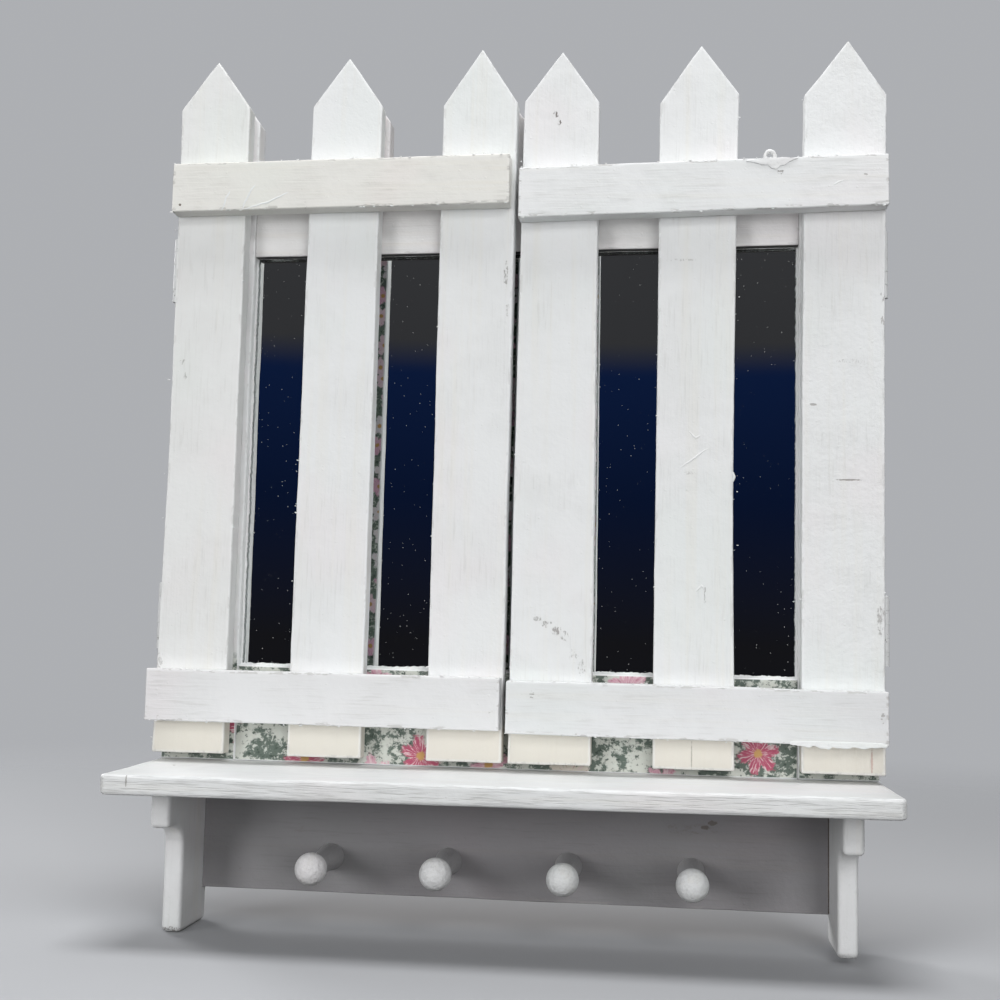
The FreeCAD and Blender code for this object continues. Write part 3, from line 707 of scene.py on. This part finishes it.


# Doors

# Scuffs and chips on the boards' fronts, and one painted shadow under the paint flap, in mm: x, z, half
# width, half height, then strength and colour
MARKS = {
    "left_top_rail": [
        (-197.1, 360.4, 0.9, 0.9, 0.9, CHIP),
        (-6.9, 357.1, 2.2, 2.2, 0.7, SCUFF_AND_SHADOW),
        (-122.6, 359.3, 1.2, 2.2, 0.7, SCUFF_AND_SHADOW),
    ],
    "right_top_rail": [
        # a painted shadow just under the paint flap
        (146.3, 374.3, 2.6, 1.5, 0.7, SCUFF_AND_SHADOW),
        (192.0, 372.0, 1.2, 1.2, 0.5, SCUFF_AND_SHADOW),
    ],
    "right_bottom_rail": [
        (200.2, 77.0, 1.2, 3.2, 0.6, SCUFF_AND_SHADOW),
        (40.0, 62.5, 6.0, 1.4, 0.4, SCUFF_AND_SHADOW),
        (14.0, 84.0, 1.4, 2.2, 0.6, SCUFF_AND_SHADOW),
    ],
    "left_bottom_rail": [
        (-8.5, 74.0, 1.3, 1.3, 0.5, SCUFF_AND_SHADOW),
        (-196.0, 66.0, 1.2, 1.2, 0.5, SCUFF_AND_SHADOW),
    ],
    "right_meeting_picket": [
        (15.0, 125.4, 2.6, 1.5, 0.55, SCUFF_AND_SHADOW),
        (20.5, 122.7, 3.0, 2.0, 0.7, SCUFF_AND_SHADOW),
        (25.7, 119.0, 3.0, 2.6, 0.7, SCUFF_AND_SHADOW),
        (30.4, 116.2, 2.4, 2.8, 0.6, SCUFF_AND_SHADOW),
        (35.5, 106.0, 2.5, 3.5, 0.4, SCUFF_AND_SHADOW),
        (40.3, 99.0, 2.5, 4.5, 0.5, SCUFF_AND_SHADOW),
        (19.8, 414.3, 1.7, 2.0, 1.0, SCUFF_AND_SHADOW),
        (21.8, 409.7, 1.5, 2.4, 1.0, SCUFF_AND_SHADOW),
    ],
    "left_meeting_picket": [
        (-6.9, 320.5, 1.5, 8.0, 0.6, SCUFF_AND_SHADOW),
        (-5.4, 300.0, 1.2, 4.0, 0.4, SCUFF_AND_SHADOW),
    ],
    "right_middle_picket": [
        (107.0, 140.4, 0.7, 5.5, 0.5, SCUFF_AND_SHADOW),
        (98.2, 207.6, 4.0, 1.0, 0.3, SCUFF_AND_SHADOW),
        (92.6, 328.1, 9.0, 0.8, 0.3, SCUFF_AND_SHADOW),
        (100.6, 53.0, 0.35, 9.0, 0.4, CHIP),
    ],
    "right_hinge_picket": [
        (202.5, 306.2, 1.5, 3.0, 0.6, SCUFF_AND_SHADOW),
        (202.8, 292.2, 1.3, 3.2, 0.55, SCUFF_AND_SHADOW),
        (185.4, 270.4, 8.0, 1.2, 0.25, SCUFF_AND_SHADOW),
        (184.2, 204.5, 6.8, 0.55, 0.6, CHIP),
        (164.9, 246.1, 2.2, 0.8, 0.5, CHIP),
        (201.0, 128.7, 2.4, 9.0, 0.5, SCUFF_AND_SHADOW),
        (196.0, 53.1, 0.6, 7.0, 0.6, PINK_LINE),
    ],
    "left_hinge_picket": [
        (-200.5, 97.0, 2.0, 5.0, 0.4, SCUFF_AND_SHADOW),
        (-195.0, 270.0, 2.6, 1.6, 0.5, SCUFF_AND_SHADOW),
        (-193.0, 262.0, 1.2, 2.2, 0.5, SCUFF_AND_SHADOW),
    ],
    "shelf": [(-187.2, 37.1, 0.5, 3.6, 0.5, CHIP)],
    "peg_board": [
        (101.0, 12.0, 15.0, 3.5, 0.5, SCUFF_AND_SHADOW),
        (108.8, 13.0, 2.6, 1.3, 0.6, CHIP),
        (112.6, 15.6, 2.6, 1.4, 0.6, CHIP),
        (-120.0, 4.0, 4.0, 3.0, 0.3, SCUFF_AND_SHADOW),
        (-154.0, -19.0, 1.2, 1.2, 0.7, SCUFF_AND_SHADOW),
        (175.3, 0.0, 0.4, 44.0, 0.75, CHIP),
    ],
}
# The lower rails' darker whites are painted shade; the left top rail's cream is its own paint, and the left
# hinge picket is a little darker.
TONES_AND_SHADE = {
    "left_top_rail": (0.78, 0.775, 0.74, 1),
    "left_hinge_picket": (0.78, 0.79, 0.785, 1),
    "left_bottom_rail": (0.745, 0.75, 0.757, 1),
    "right_bottom_rail": (0.735, 0.745, 0.755, 1),
}
LUMPY = {"right_hinge_picket": 1.2}
DOORS = ("left", "right")
PICKETS = ("hinge", "middle", "meeting")
RAILS = ("top", "bottom")


def front_marks(node):
    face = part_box(node)[0].y
    return [
        ((x * MM, face, z * MM), (wide * MM, MARK_DEPTH, tall * MM), strength, colour)
        for x, z, wide, tall, strength, colour in MARKS.get(node, ())
    ]


def on_back(p, low, high):
    return p.y > high.y - FACE_SKIN


def picket(door, place):
    node = f"{door}_{place}_picket"
    low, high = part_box(node)
    tip, shoulders, left, right = PICKET_CUT[node]
    board(node, picket_outline(low, high, tip, shoulders), "Y", "Z", f"{door}_door",
          bend=picket_warp(low, high, left, right), marks=front_marks(node), tone=TONES_AND_SHADE.get(node, WHITE),
          art=CLIMBER, art_face=on_back, foot=low.z + FOOT_HEIGHT, lumps=LUMPY.get(node, 0.6))


def rail(door, place):
    node = f"{door}_{place}_rail"
    board(node, slanted_outline(node), "Y", "X", f"{door}_door", radius=0.8, marks=front_marks(node),
          tone=TONES_AND_SHADE.get(node, WHITE), worn=0.5, lumps=0.5, brushed=1.3)


for door in DOORS:
    for place in PICKETS:
        picket(door, place)
    for place in RAILS:
        rail(door, place)


# Thick paint that ran and dried on the doors

FLAP_MIDDLE = 141.4 * MM
FLAP_TOP = 381.7 * MM
FLAP = [
    (-15, -1.2), (-9, -1.9), (-6, -3.4), (-2.5, -3.2), (-0.5, -5.4), (2.5, -5.9), (4.5, -4.0), (7, -3.6),
    (9, -1.9), (15, 0.4), (8, 0.9), (2, 0.6), (-4, 0.9), (-8, 0.1),
]
FLAP_DEPTH = 0.7 * MM
LUMP_ROOT = 0.4 * MM           # how far a lump of paint reaches into its rail
LUMP_WAVE, LOOP_WAVE, RIDGE_WAVE = 0.35 * MM, 0.3 * MM, 0.5 * MM
LOOP_RADIUS = 2.6 * MM
LOOP_THICKNESS = 1.1 * MM
LOOP_STRETCH = 1.15
LOOP_SHIFT = Vector((-1.0, 1.5, 2.0)) * MM
SAG_START = 152.0 * MM
SAG_STOP = 202.5 * MM
SAG_STEPS = 25
SAG_TOP = 2.0 * MM
SAG_DEPTH = 0.35 * MM
SAG_ENDS, SAG_MIDDLE = 0.4 * MM, 1.6 * MM
SAG_CHANCE = (0.35, 1.2)
RIDGE_WIDTH = 0.7 * MM
RIDGE_RISE = 0.42 * MM
RIDGE_ROOT = 0.12 * MM
# Wrinkles on the boards' fronts, in mm: lines of x, z points
RIDGES = {
    "left_top_rail": [
        [(-171.7, 356.4), (-169.7, 364.1), (-166.9, 368.8)],
        [(-159.8, 356.9), (-156.6, 365.1), (-152.2, 372.8)],
        [(-158.6, 357.4), (-144.6, 361.4), (-131.2, 367.7)],
    ],
    "right_middle_picket": [
        [(91.5, 209.0), (101.0, 216.5), (108.9, 222.1)],
        [(97.0, 231.0), (101.5, 227.0), (104.0, 229.0)],
        [(121.6, 202.8), (122.6, 205.6), (122.0, 208.4)],
        [(102.0, 142.0), (105.0, 145.5), (107.0, 142.5)],
    ],
    "right_top_rail": [[(174.0, 365.9), (177.5, 368.4), (181.5, 369.7)]],
}
TOP_CRUMBS, BOTTOM_CRUMBS, PICKET_CRUMBS = 34, 18, 6
CRUMB_SIZES = (0.2 * MM, 0.55 * MM)
CRUMB_SCATTER = 0.25 * MM


def paint_piece(mesh, name, look, body):
    piece = to_object(mesh, name, look)
    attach(piece, body)


def paint_lump(name, outline, back, depth, seed):
    """A soft ragged skin of paint on a rail's front."""
    mesh = prism(outline, back - depth, back + LUMP_ROOT, "Y")
    bmesh.ops.triangulate(mesh, faces=mesh.faces)
    bmesh.ops.subdivide_edges(mesh, edges=mesh.edges, cuts=2, use_grid_fill=True)
    for vertex in mesh.verts:
        vertex.co += noise.noise_vector(vertex.co * 420 + Vector((seed, 0, 0))) * LUMP_WAVE
    bmesh.ops.smooth_vert(mesh, verts=mesh.verts, factor=0.6,
                          use_axis_x=True, use_axis_y=True, use_axis_z=True)
    paint_piece(mesh, name, painted_wood(f"{name}_paint", "X", seed, worn=0.0, lumps=1.2), "right_door")


def paint_flap():
    outline = [(FLAP_MIDDLE + x * MM, FLAP_TOP + z * MM) for x, z in FLAP]
    paint_lump("paint_flap", outline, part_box("right_top_rail")[0].y, FLAP_DEPTH, FLAP_SEED)


def paint_loop(around=28, across=12):
    """A thread of paint that dried as a small ring over the flap."""
    centre = Vector((FLAP_MIDDLE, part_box("right_top_rail")[0].y, FLAP_TOP)) + LOOP_SHIFT
    mesh = bmesh.new()
    rows = []
    for a in (math.tau * i / around for i in range(around)):
        row = []
        for b in (math.tau * k / across for k in range(across)):
            out = LOOP_RADIUS + LOOP_THICKNESS * math.cos(b)
            spot = (out * math.cos(a), LOOP_THICKNESS * math.sin(b), out * math.sin(a) * LOOP_STRETCH)
            row.append(mesh.verts.new(spot))
        rows.append(row)
    for i, row in enumerate(rows):
        after = rows[(i + 1) % around]
        for k in range(across):
            j = (k + 1) % across
            mesh.faces.new((row[k], after[k], after[j], row[j]))
    for vertex in mesh.verts:
        vertex.co += noise.noise_vector(vertex.co * 500) * LOOP_WAVE
        vertex.co += centre
    bmesh.ops.recalc_face_normals(mesh, faces=mesh.faces)
    look = painted_wood("paint_loop_paint", "X", LOOP_SEED, worn=0.0, lumps=1.2)
    paint_piece(mesh, "paint_loop", look, "right_door")


def paint_sag():
    """Paint that hangs from the right lower rail's end."""
    rng = random.Random(SAG_DRAWS)
    left, right = slanted_outline("right_bottom_rail")[:2]
    lower = []
    for i in range(SAG_STEPS + 1):
        x = SAG_START + (SAG_STOP - SAG_START) * i / SAG_STEPS
        hang = (SAG_ENDS + SAG_MIDDLE * math.sin(math.pi * i / SAG_STEPS)) * rng.uniform(*SAG_CHANCE)
        lower.append((x, height_at(x, left, right) - hang))
    top = height_at(SAG_STOP, left, right) + SAG_TOP
    upper = [(SAG_STOP, top), (SAG_START, top)]
    paint_lump("paint_sag", lower + upper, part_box("right_bottom_rail")[0].y, SAG_DEPTH, SAG_SEED)


def strip_faces(mesh, before, row):
    for a in range(len(row) - 1):
        mesh.faces.new((before[a], before[a + 1], row[a + 1], row[a]))


def paint_ridge(mesh, points, face):
    """A low wrinkle of paint along a line."""
    line = [Vector(p) * MM for p in points]
    path = [line[i].lerp(line[i + 1], k / 8) for i in range(len(line) - 1) for k in range(8)] + [line[-1]]
    before = None
    for i, p in enumerate(path):
        run = (path[min(i + 1, len(path) - 1)] - path[max(i - 1, 0)]).normalized()
        side = Vector((-run.y, run.x))
        p = p + side * noise.noise(Vector((p.x, p.y, 0)) * 300) * RIDGE_WAVE
        taper = math.sin(math.pi * (i + 0.5) / len(path)) ** 0.5
        row = []
        for turn in (math.pi * k / 4 for k in range(5)):
            spot = p - side * math.cos(turn) * RIDGE_WIDTH * taper
            rise = math.sin(turn) * RIDGE_RISE * taper - RIDGE_ROOT
            row.append(mesh.verts.new((spot.x, face - rise, spot.y)))
        if before:
            strip_faces(mesh, before, row)
        before = row


def paint_crumbs(mesh, start, stop, count, rng):
    """Small dried lumps of paint along an edge."""
    start, stop = Vector(start), Vector(stop)
    for _ in range(count):
        size = rng.uniform(*CRUMB_SIZES)
        centre = start.lerp(stop, rng.random()) + Vector([rng.gauss(0, CRUMB_SCATTER) for _ in range(3)])
        made = bmesh.ops.create_icosphere(mesh, subdivisions=2, radius=size)
        stretch = Vector((rng.uniform(0.8, 2.2), 0.8, rng.uniform(0.6, 1.0)))
        for vertex in made["verts"]:
            p = Vector([vertex.co[k] * stretch[k] for k in range(3)])
            vertex.co = centre + p + noise.noise_vector((centre + p) * 900) * size * 0.5


def paint_crust(door, rng):
    """A door's wrinkles and crumbs of paint."""
    mesh = bmesh.new()
    for node, lines in RIDGES.items():
        if node.startswith(door):
            for line in lines:
                paint_ridge(mesh, line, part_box(node)[0].y)
    for place in RAILS:
        node = f"{door}_{place}_rail"
        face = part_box(node)[0].y + PAINT_SKIN
        corners = [(x, face, z) for x, z in slanted_outline(node)]
        paint_crumbs(mesh, corners[3], corners[2], TOP_CRUMBS, rng)
        paint_crumbs(mesh, corners[0], corners[1], BOTTOM_CRUMBS, rng)
    for place in PICKETS:
        low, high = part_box(f"{door}_{place}_picket")
        face = low.y + PAINT_SKIN
        for x in (low.x, high.x):
            paint_crumbs(mesh, (x, face, low.z), (x, face, high.z - POINT), PICKET_CRUMBS, rng)
    bmesh.ops.recalc_face_normals(mesh, faces=mesh.faces)
    look = painted_wood(f"{door}_crust_paint", "X", CRUST_SEED, worn=0.0)
    paint_piece(mesh, f"{door}_door_paint_crust", look, f"{door}_door")


paint_flap()
paint_loop()
paint_sag()
crumb_draws = random.Random(CRUMB_DRAWS)
for door in DOORS:
    paint_crust(door, crumb_draws)


# Frame

bottom_low, bottom_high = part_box("bottom_board")
top_corners = slanted_outline("top_board")
sight_left, sight_right = bottom_low.x, bottom_high.x
sight_bottom = bottom_high.z
sight_top = {"left": top_corners[0][1], "right": top_corners[1][1]}


def on_front_foot(p, low, high):
    return p.y < low.y + FACE_SKIN and p.z < sight_bottom + EDGE_SKIN


def under_top(p):
    """The top board's lower edge over the glass, painted near black as shade."""
    line = height_at(p.x, (sight_left, sight_top["left"]), (sight_right, sight_top["right"]))
    return p.z < line + UNDER_SKIN and p.y > bottom_low.y + EDGE_SKIN


def rebate():
    """The step behind the frame's lip that takes the glass and its backing."""
    left, right = sight_left - REBATE, sight_right + REBATE
    bottom = sight_bottom - REBATE
    outline = [
        (left, bottom), (right, bottom),
        (right, sight_top["right"] + REBATE), (left, sight_top["left"] + REBATE),
    ]
    return prism(outline, bottom_low.y + LIP, 2 * PAST, "Y")


def keyhole(node):
    """A round entry and a narrow slot above it, with room behind its lip for a screw's head."""
    low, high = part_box(node)
    middle = (low.x + high.x) / 2
    entry = high.z - KEYHOLE_DROP
    hollows = (
        (KEYHOLE_ENTRY, 0.0, -KEYHOLE_DEPTH, PAST),
        (KEYHOLE_SLOT, KEYHOLE_RISE, -KEYHOLE_LIP - OVERLAP, PAST),
        (KEYHOLE_ENTRY, KEYHOLE_RISE, -KEYHOLE_DEPTH, -KEYHOLE_LIP),
    )
    shapes = []
    for radius, rise, start, stop in hollows:
        outline = arc((middle, entry + rise), radius, 7.5, 172.5, 11)
        outline += arc((middle, entry), radius, 187.5, 352.5, 11)
        shapes.append(prism(outline, start, stop, "Y"))
    return shapes


def stile(door):
    node = f"{door}_stile"
    low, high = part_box(node)
    outline = picket_outline(low, high)
    if door == "right":
        neck = sight_top["right"] + TOP_NECK
        outline[-1] = (low.x + HEAD_TRIM, outline[-1][1])
        outline += [(low.x + HEAD_TRIM, neck + 2 * HEAD_TRIM), (low.x, neck)]
    board(node, outline, "Y", "Z", "frame", cutters=[rebate()] + keyhole(node), art=BED,
          art_face=on_front_foot)


def top_outline():
    low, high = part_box("top_board")
    half = STILE_WIDTH / 2
    outer = (high.x + STILE_WIDTH) / 2
    shoulder = high.z - POINT

    def tips(sign, valley):
        steps = [
            (half, high.z), (STILE_WIDTH, shoulder), (STILE_WIDTH, valley), (outer - half, valley),
            (outer - half, shoulder), (outer, high.z), (outer + half, shoulder), (outer + half, valley),
            (high.x, valley),
        ]
        return [(sign * a, b) for a, b in steps]

    left = tips(-1, sight_top["left"] + TOP_NECK)[::-1]
    right = tips(1, sight_top["right"] + TOP_NECK)
    return left + [(0.0, shoulder)] + right + [(high.x, sight_top["right"]), (low.x, sight_top["left"])]


for door in DOORS:
    stile(door)
# the top board's lower edge over the glass is painted near black as shade
board("top_board", top_outline(), "Y", "X", "frame", cutters=[rebate()], shade_face=under_top,
      # its pink white is darkened as painted shade under the top rails
      tone=TOP_BOARD_PINK_AND_SHADE)
board("bottom_board", slanted_outline("bottom_board"), "Y", "X", "frame", cutters=[rebate()], art=BED,
      art_face=on_front_foot)


# Shelf, peg board, brackets and pegs

TOE_RUB = (7.0 * MM, 4.0 * MM, 1.8 * MM)
TOE_RUB_RISE = 1.4 * MM
TOE_RUB_STRENGTH = {"left": 0.7, "right": 0.2}
PEG_DABS = (12 * MM,) * 3
PEG_DAB_STRENGTH = 0.09


def shelf():
    low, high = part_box("shelf")
    front = low.y + SHELF_CORNER
    outline = [(high.x, high.y), (low.x, high.y)]
    outline += arc((low.x + SHELF_CORNER, front), SHELF_CORNER, 180, 270, 8)
    outline += arc((high.x - SHELF_CORNER, front), SHELF_CORNER, 270, 360, 8)

    def bend(vertex):
        p = vertex.co
        share = max(0.0, p.y / low.y)
        vertex.co.z += (SHELF_TWIST * p.x / high.x - SHELF_DROOP) * share

    board("shelf", outline, "Z", "X", "frame", radius=1.7, step=10.0, bend=bend, worn=0.1,
          ridge=(low.y, 0.34), marks=front_marks("shelf"))


def bracket(door):
    node = f"{door}_bracket"
    low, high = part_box(node)
    ledge = high.z - BLOCK_HEIGHT
    leg = high.y - LEG_DEPTH
    outline = [(high.y, high.z), (low.y, high.z), (low.y, ledge)]
    outline += arc((leg - COVE, ledge - COVE), COVE, 90, 0, 8)
    outline += arc((leg + TOE, low.z + TOE), TOE, 180, 270, 5)
    outline += arc((high.y - TOE, low.z + TOE), TOE, 270, 360, 5)
    toe = ((low.x + high.x) / 2, leg, low.z + TOE_RUB_RISE)
    rubbed_toe = (toe, TOE_RUB, TOE_RUB_STRENGTH[door], SCUFF_AND_SHADOW)
    # the brackets take a lighter white as painted light
    board(node, outline, "X", "Z", "frame", radius=2.4, step=7.0, worn=0.1, lumps=1.1, tone=LIT_WHITE,
          marks=[rubbed_toe])


def dress(node, look):
    """Gives one of the solids its material."""
    data = frame["nodes"][node].data
    data.materials.clear()
    data.materials.append(look)


def peg(number):
    node = f"peg_{number}"
    low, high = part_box(node)
    ball = ((low.x + high.x) / 2, low.y, (low.z + high.z) / 2)
    dabs = (ball, PEG_DABS, PEG_DAB_STRENGTH, SCUFF_AND_SHADOW)
    # the shank behind the ball is darkened as painted shade
    shank = low.y + BALL_SHARE * (high.x - low.x)
    # the peg's ball takes a lighter white as painted light
    dress(node, painted_wood(f"{node}_paint", "Y", PEG_SEED + number * PEG_SEED_STEP, LIT_WHITE,
                             marks=[dabs], worn=0.0, lumps=3.6, shank=shank))


shelf()
# the peg board's dark grey is partly its own paint and partly painted shade from the shelf
board("peg_board", slanted_outline("peg_board"), "Y", "X", "frame", radius=0.6, lumps=1.0,
      tone=PEG_BOARD_GREY_AND_SHADE, marks=front_marks("peg_board"))
for door in DOORS:
    bracket(door)
for number in range(1, 5):
    peg(number)


# Mirror: its silver is seen through the glass, and paint has run on to the glass along the frame

RUN_STEP = 0.7 * MM
RUN_RISES = (0.16, 0.12, 0.02)
RUN_JITTER = 0.25
RUN_LEAST = 0.05
BOTTOM_RUN, RIGHT_RUN, TOP_RUN, LEFT_RUN = (0.8, 2.2), (0.9, 1.6), (0.0, 0.12), (0.7, 1.5)
glass_low, glass_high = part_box("mirror_glass")


def mirror_silver():
    middle = (glass_low.z + glass_high.z) / 2
    points = [v.co for v in frame["nodes"]["mirror_glass"].data.vertices if v.co.y < glass_low.y + TOUCH]
    points.sort(key=lambda p: math.atan2(p.z - middle, p.x))
    mesh = prism([(p.x, p.z) for p in points], glass_low.y + GLASS_SHOW, glass_high.y, "Y")
    silver = to_object(mesh, "mirror_silver", silvered_glass())
    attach(silver, "frame")
    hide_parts("mirror_glass")


def paint_run(mesh, start, stop, inward, widths, rng):
    """A ragged strip of paint on the glass along one edge of the opening; its widths are in mm."""
    start, stop, inward = Vector(start), Vector(stop), Vector(inward)
    count = int((stop - start).length / RUN_STEP)
    before, swing = None, rng.uniform(*widths)
    for i in range(count + 1):
        swing = 0.7 * swing + 0.3 * rng.uniform(*widths)
        width = max(RUN_LEAST, swing + rng.uniform(-RUN_JITTER, RUN_JITTER)) * MM
        edge = start.lerp(stop, i / count)
        places = (edge - inward * MM, edge + inward * width * 0.6, edge + inward * width)
        row = [mesh.verts.new((p.x, glass_low.y - rise * MM, p.y)) for p, rise in zip(places, RUN_RISES)]
        if before:
            strip_faces(mesh, before, row)
        before = row


def paint_on_glass():
    rng = random.Random(RUN_DRAWS)
    corners = [
        (sight_left, sight_bottom), (sight_right, sight_bottom), (sight_right, sight_top["right"]),
        (sight_left, sight_top["left"]),
    ]
    runs = (((0, 1), BOTTOM_RUN), ((-1, 0), RIGHT_RUN), ((0, -1), TOP_RUN), ((1, 0), LEFT_RUN))
    mesh = bmesh.new()
    for i, (inward, widths) in enumerate(runs):
        paint_run(mesh, corners[i], corners[(i + 1) % 4], inward, widths, rng)
    bmesh.ops.recalc_face_normals(mesh, faces=mesh.faces)
    look = painted_wood("paint_on_glass", "Z", RUN_SEED, worn=0.0)
    paint_piece(mesh, "paint_on_glass", look, "frame")


mirror_silver()
paint_on_glass()


# Carried-over solids

LOOKS = {
    "hardboard": hardboard(), "bare_wood": bare_wood(),
    "painted_hinge": painted_hinge(), "fastener_steel": steel(),
}
for part in frame["record"]["subparts"]:
    if part["material_slot"] in LOOKS:
        dress(part["node"], LOOKS[part["material_slot"]])


# Stage, light and camera

PAPER = ((0.50, 0.51, 0.53, 1), (0.52, 0.53, 0.55, 1))
PAPER_BOUNCE = (0.12, 0.12, 0.12, 1)
PAPER_SIZE = 6.0
PAPER_GAP = 0.4 * MM
PAPER_FADE = (1.5, 0.45)       # it is gone and whole at these distances
BACKDROP = (0.42, 0.43, 0.45, 1)
AMBIENT = (0.20, 0.202, 0.206, 1)
# What the mirror sees, by height
DUSK_LOW = (0.0, (0.008, 0.008, 0.010, 1))
DUSK_HIGH = (0.30, (0.040, 0.040, 0.043, 1))
DUSK_BETWEEN = (
    (0.10, (0.003, 0.007, 0.026, 1)), (0.19, (0.004, 0.011, 0.044, 1)), (0.21, (0.034, 0.034, 0.037, 1)),
)
# Place, target and size in metres, then watts and colour
LAMPS = {
    "overhead": ((0.05, -0.35, 1.9), (0, 0, 0.2), (0.9, 0.6), 20.0, (1.0, 1.0, 1.0)),
    "key": ((0.9, -2.6, 1.5), (0, 0, 0.2), (1.0, 0.7), 20.0, (1.0, 0.995, 0.99)),
    "fill": ((1.0, -2.3, 0.25), (0, 0, 0.1), (0.9, 0.9), 12.5, (1.0, 1.0, 1.0)),
    "rear": ((-2.0, 1.7, 0.9), (0, 0, 0.2), (0.9, 0.9), 30.0, (1.0, 1.0, 1.0)),
    "side": ((-1.4, -2.0, 0.45), (0, 0, 0.1), (0.8, 0.8), 18.0, (1.0, 1.0, 1.0)),
}
# The photo's camera
SENSOR = 36.0
FOCAL_PIXELS = 1400.68
PHOTO_PIXELS = 1000
CAMERA_PLACE = (0.08579, -0.80167, 0.11292)
CAMERA_RIGHT = (0.99290501, 0.11662479, 0.02320125)
CAMERA_FORWARD = (-0.11837443, 0.98793513, 0.09985825)


def floor_paper():
    """Pale paper that fades into the backdrop."""
    look = Look("floor_paper")
    paper = look.mix(look.noise(look.place, 3, 2), *PAPER)
    look.coat(look.mix(look.ray("Is Camera Ray"), PAPER_BOUNCE, paper), 0.9)
    look.shader.inputs["Specular IOR Level"].default_value = 0.1
    look.feed(look.shader.inputs["Alpha"], look.ramp(look.length(look.place), *PAPER_FADE))
    return look.material


def floor():
    mesh = bmesh.new()
    bmesh.ops.create_grid(mesh, x_segments=2, y_segments=2, size=PAPER_SIZE)
    paper = to_object(mesh, "floor", floor_paper())
    paper.location = (0, 0, cad_box[0].z - PAPER_GAP)


def studio():
    """Soft even light, a grey backdrop for the camera and a dim room for the mirror."""
    world = bpy.data.worlds.new("studio")
    bpy.context.scene.world = world
    world.use_nodes = True
    sky = Nodes(world.node_tree)
    height = sky.axes(sky.node("ShaderNodeTexCoord").outputs["Generated"])["Z"]
    dusk = sky.node("ShaderNodeValToRGB", {0: height})
    steps = dusk.color_ramp.elements
    for step, (spot, tint) in zip(list(steps), (DUSK_LOW, DUSK_HIGH)):
        step.position = spot
        step.color = tint
    for spot, tint in DUSK_BETWEEN:
        steps.new(spot).color = tint
    light = sky.mix(sky.ray("Is Glossy Ray"), AMBIENT, dusk.outputs[0])
    light = sky.mix(sky.ray("Is Camera Ray"), light, BACKDROP)
    sky.feed(sky.nodes["Background"].inputs["Color"], light)


def lamp(name, place, target, size, power, colour):
    data = bpy.data.lights.new(name, "AREA")
    data.shape = "RECTANGLE"
    data.size, data.size_y = size
    data.energy = power
    data.color = colour
    made = bpy.data.objects.new(name, data)
    made.location = place
    made.rotation_mode = "QUATERNION"
    made.rotation_quaternion = (Vector(target) - Vector(place)).to_track_quat("-Z", "Y")
    bpy.context.collection.objects.link(made)


def photo_camera():
    data = bpy.data.cameras.new("camera")
    data.lens = SENSOR * FOCAL_PIXELS / PHOTO_PIXELS
    data.sensor_width = SENSOR
    data.clip_start = 0.01
    camera = bpy.data.objects.new("camera", data)
    right, forward = Vector(CAMERA_RIGHT), Vector(CAMERA_FORWARD)
    turn = Matrix((right, right.cross(forward), -forward)).transposed()
    camera.matrix_world = Matrix.Translation(CAMERA_PLACE) @ turn.to_4x4()
    bpy.context.collection.objects.link(camera)
    bpy.context.scene.camera = camera


floor()
studio()
for name, settings in LAMPS.items():
    lamp(name, *settings)
photo_camera()
bpy.context.scene.view_settings.view_transform = "Standard"
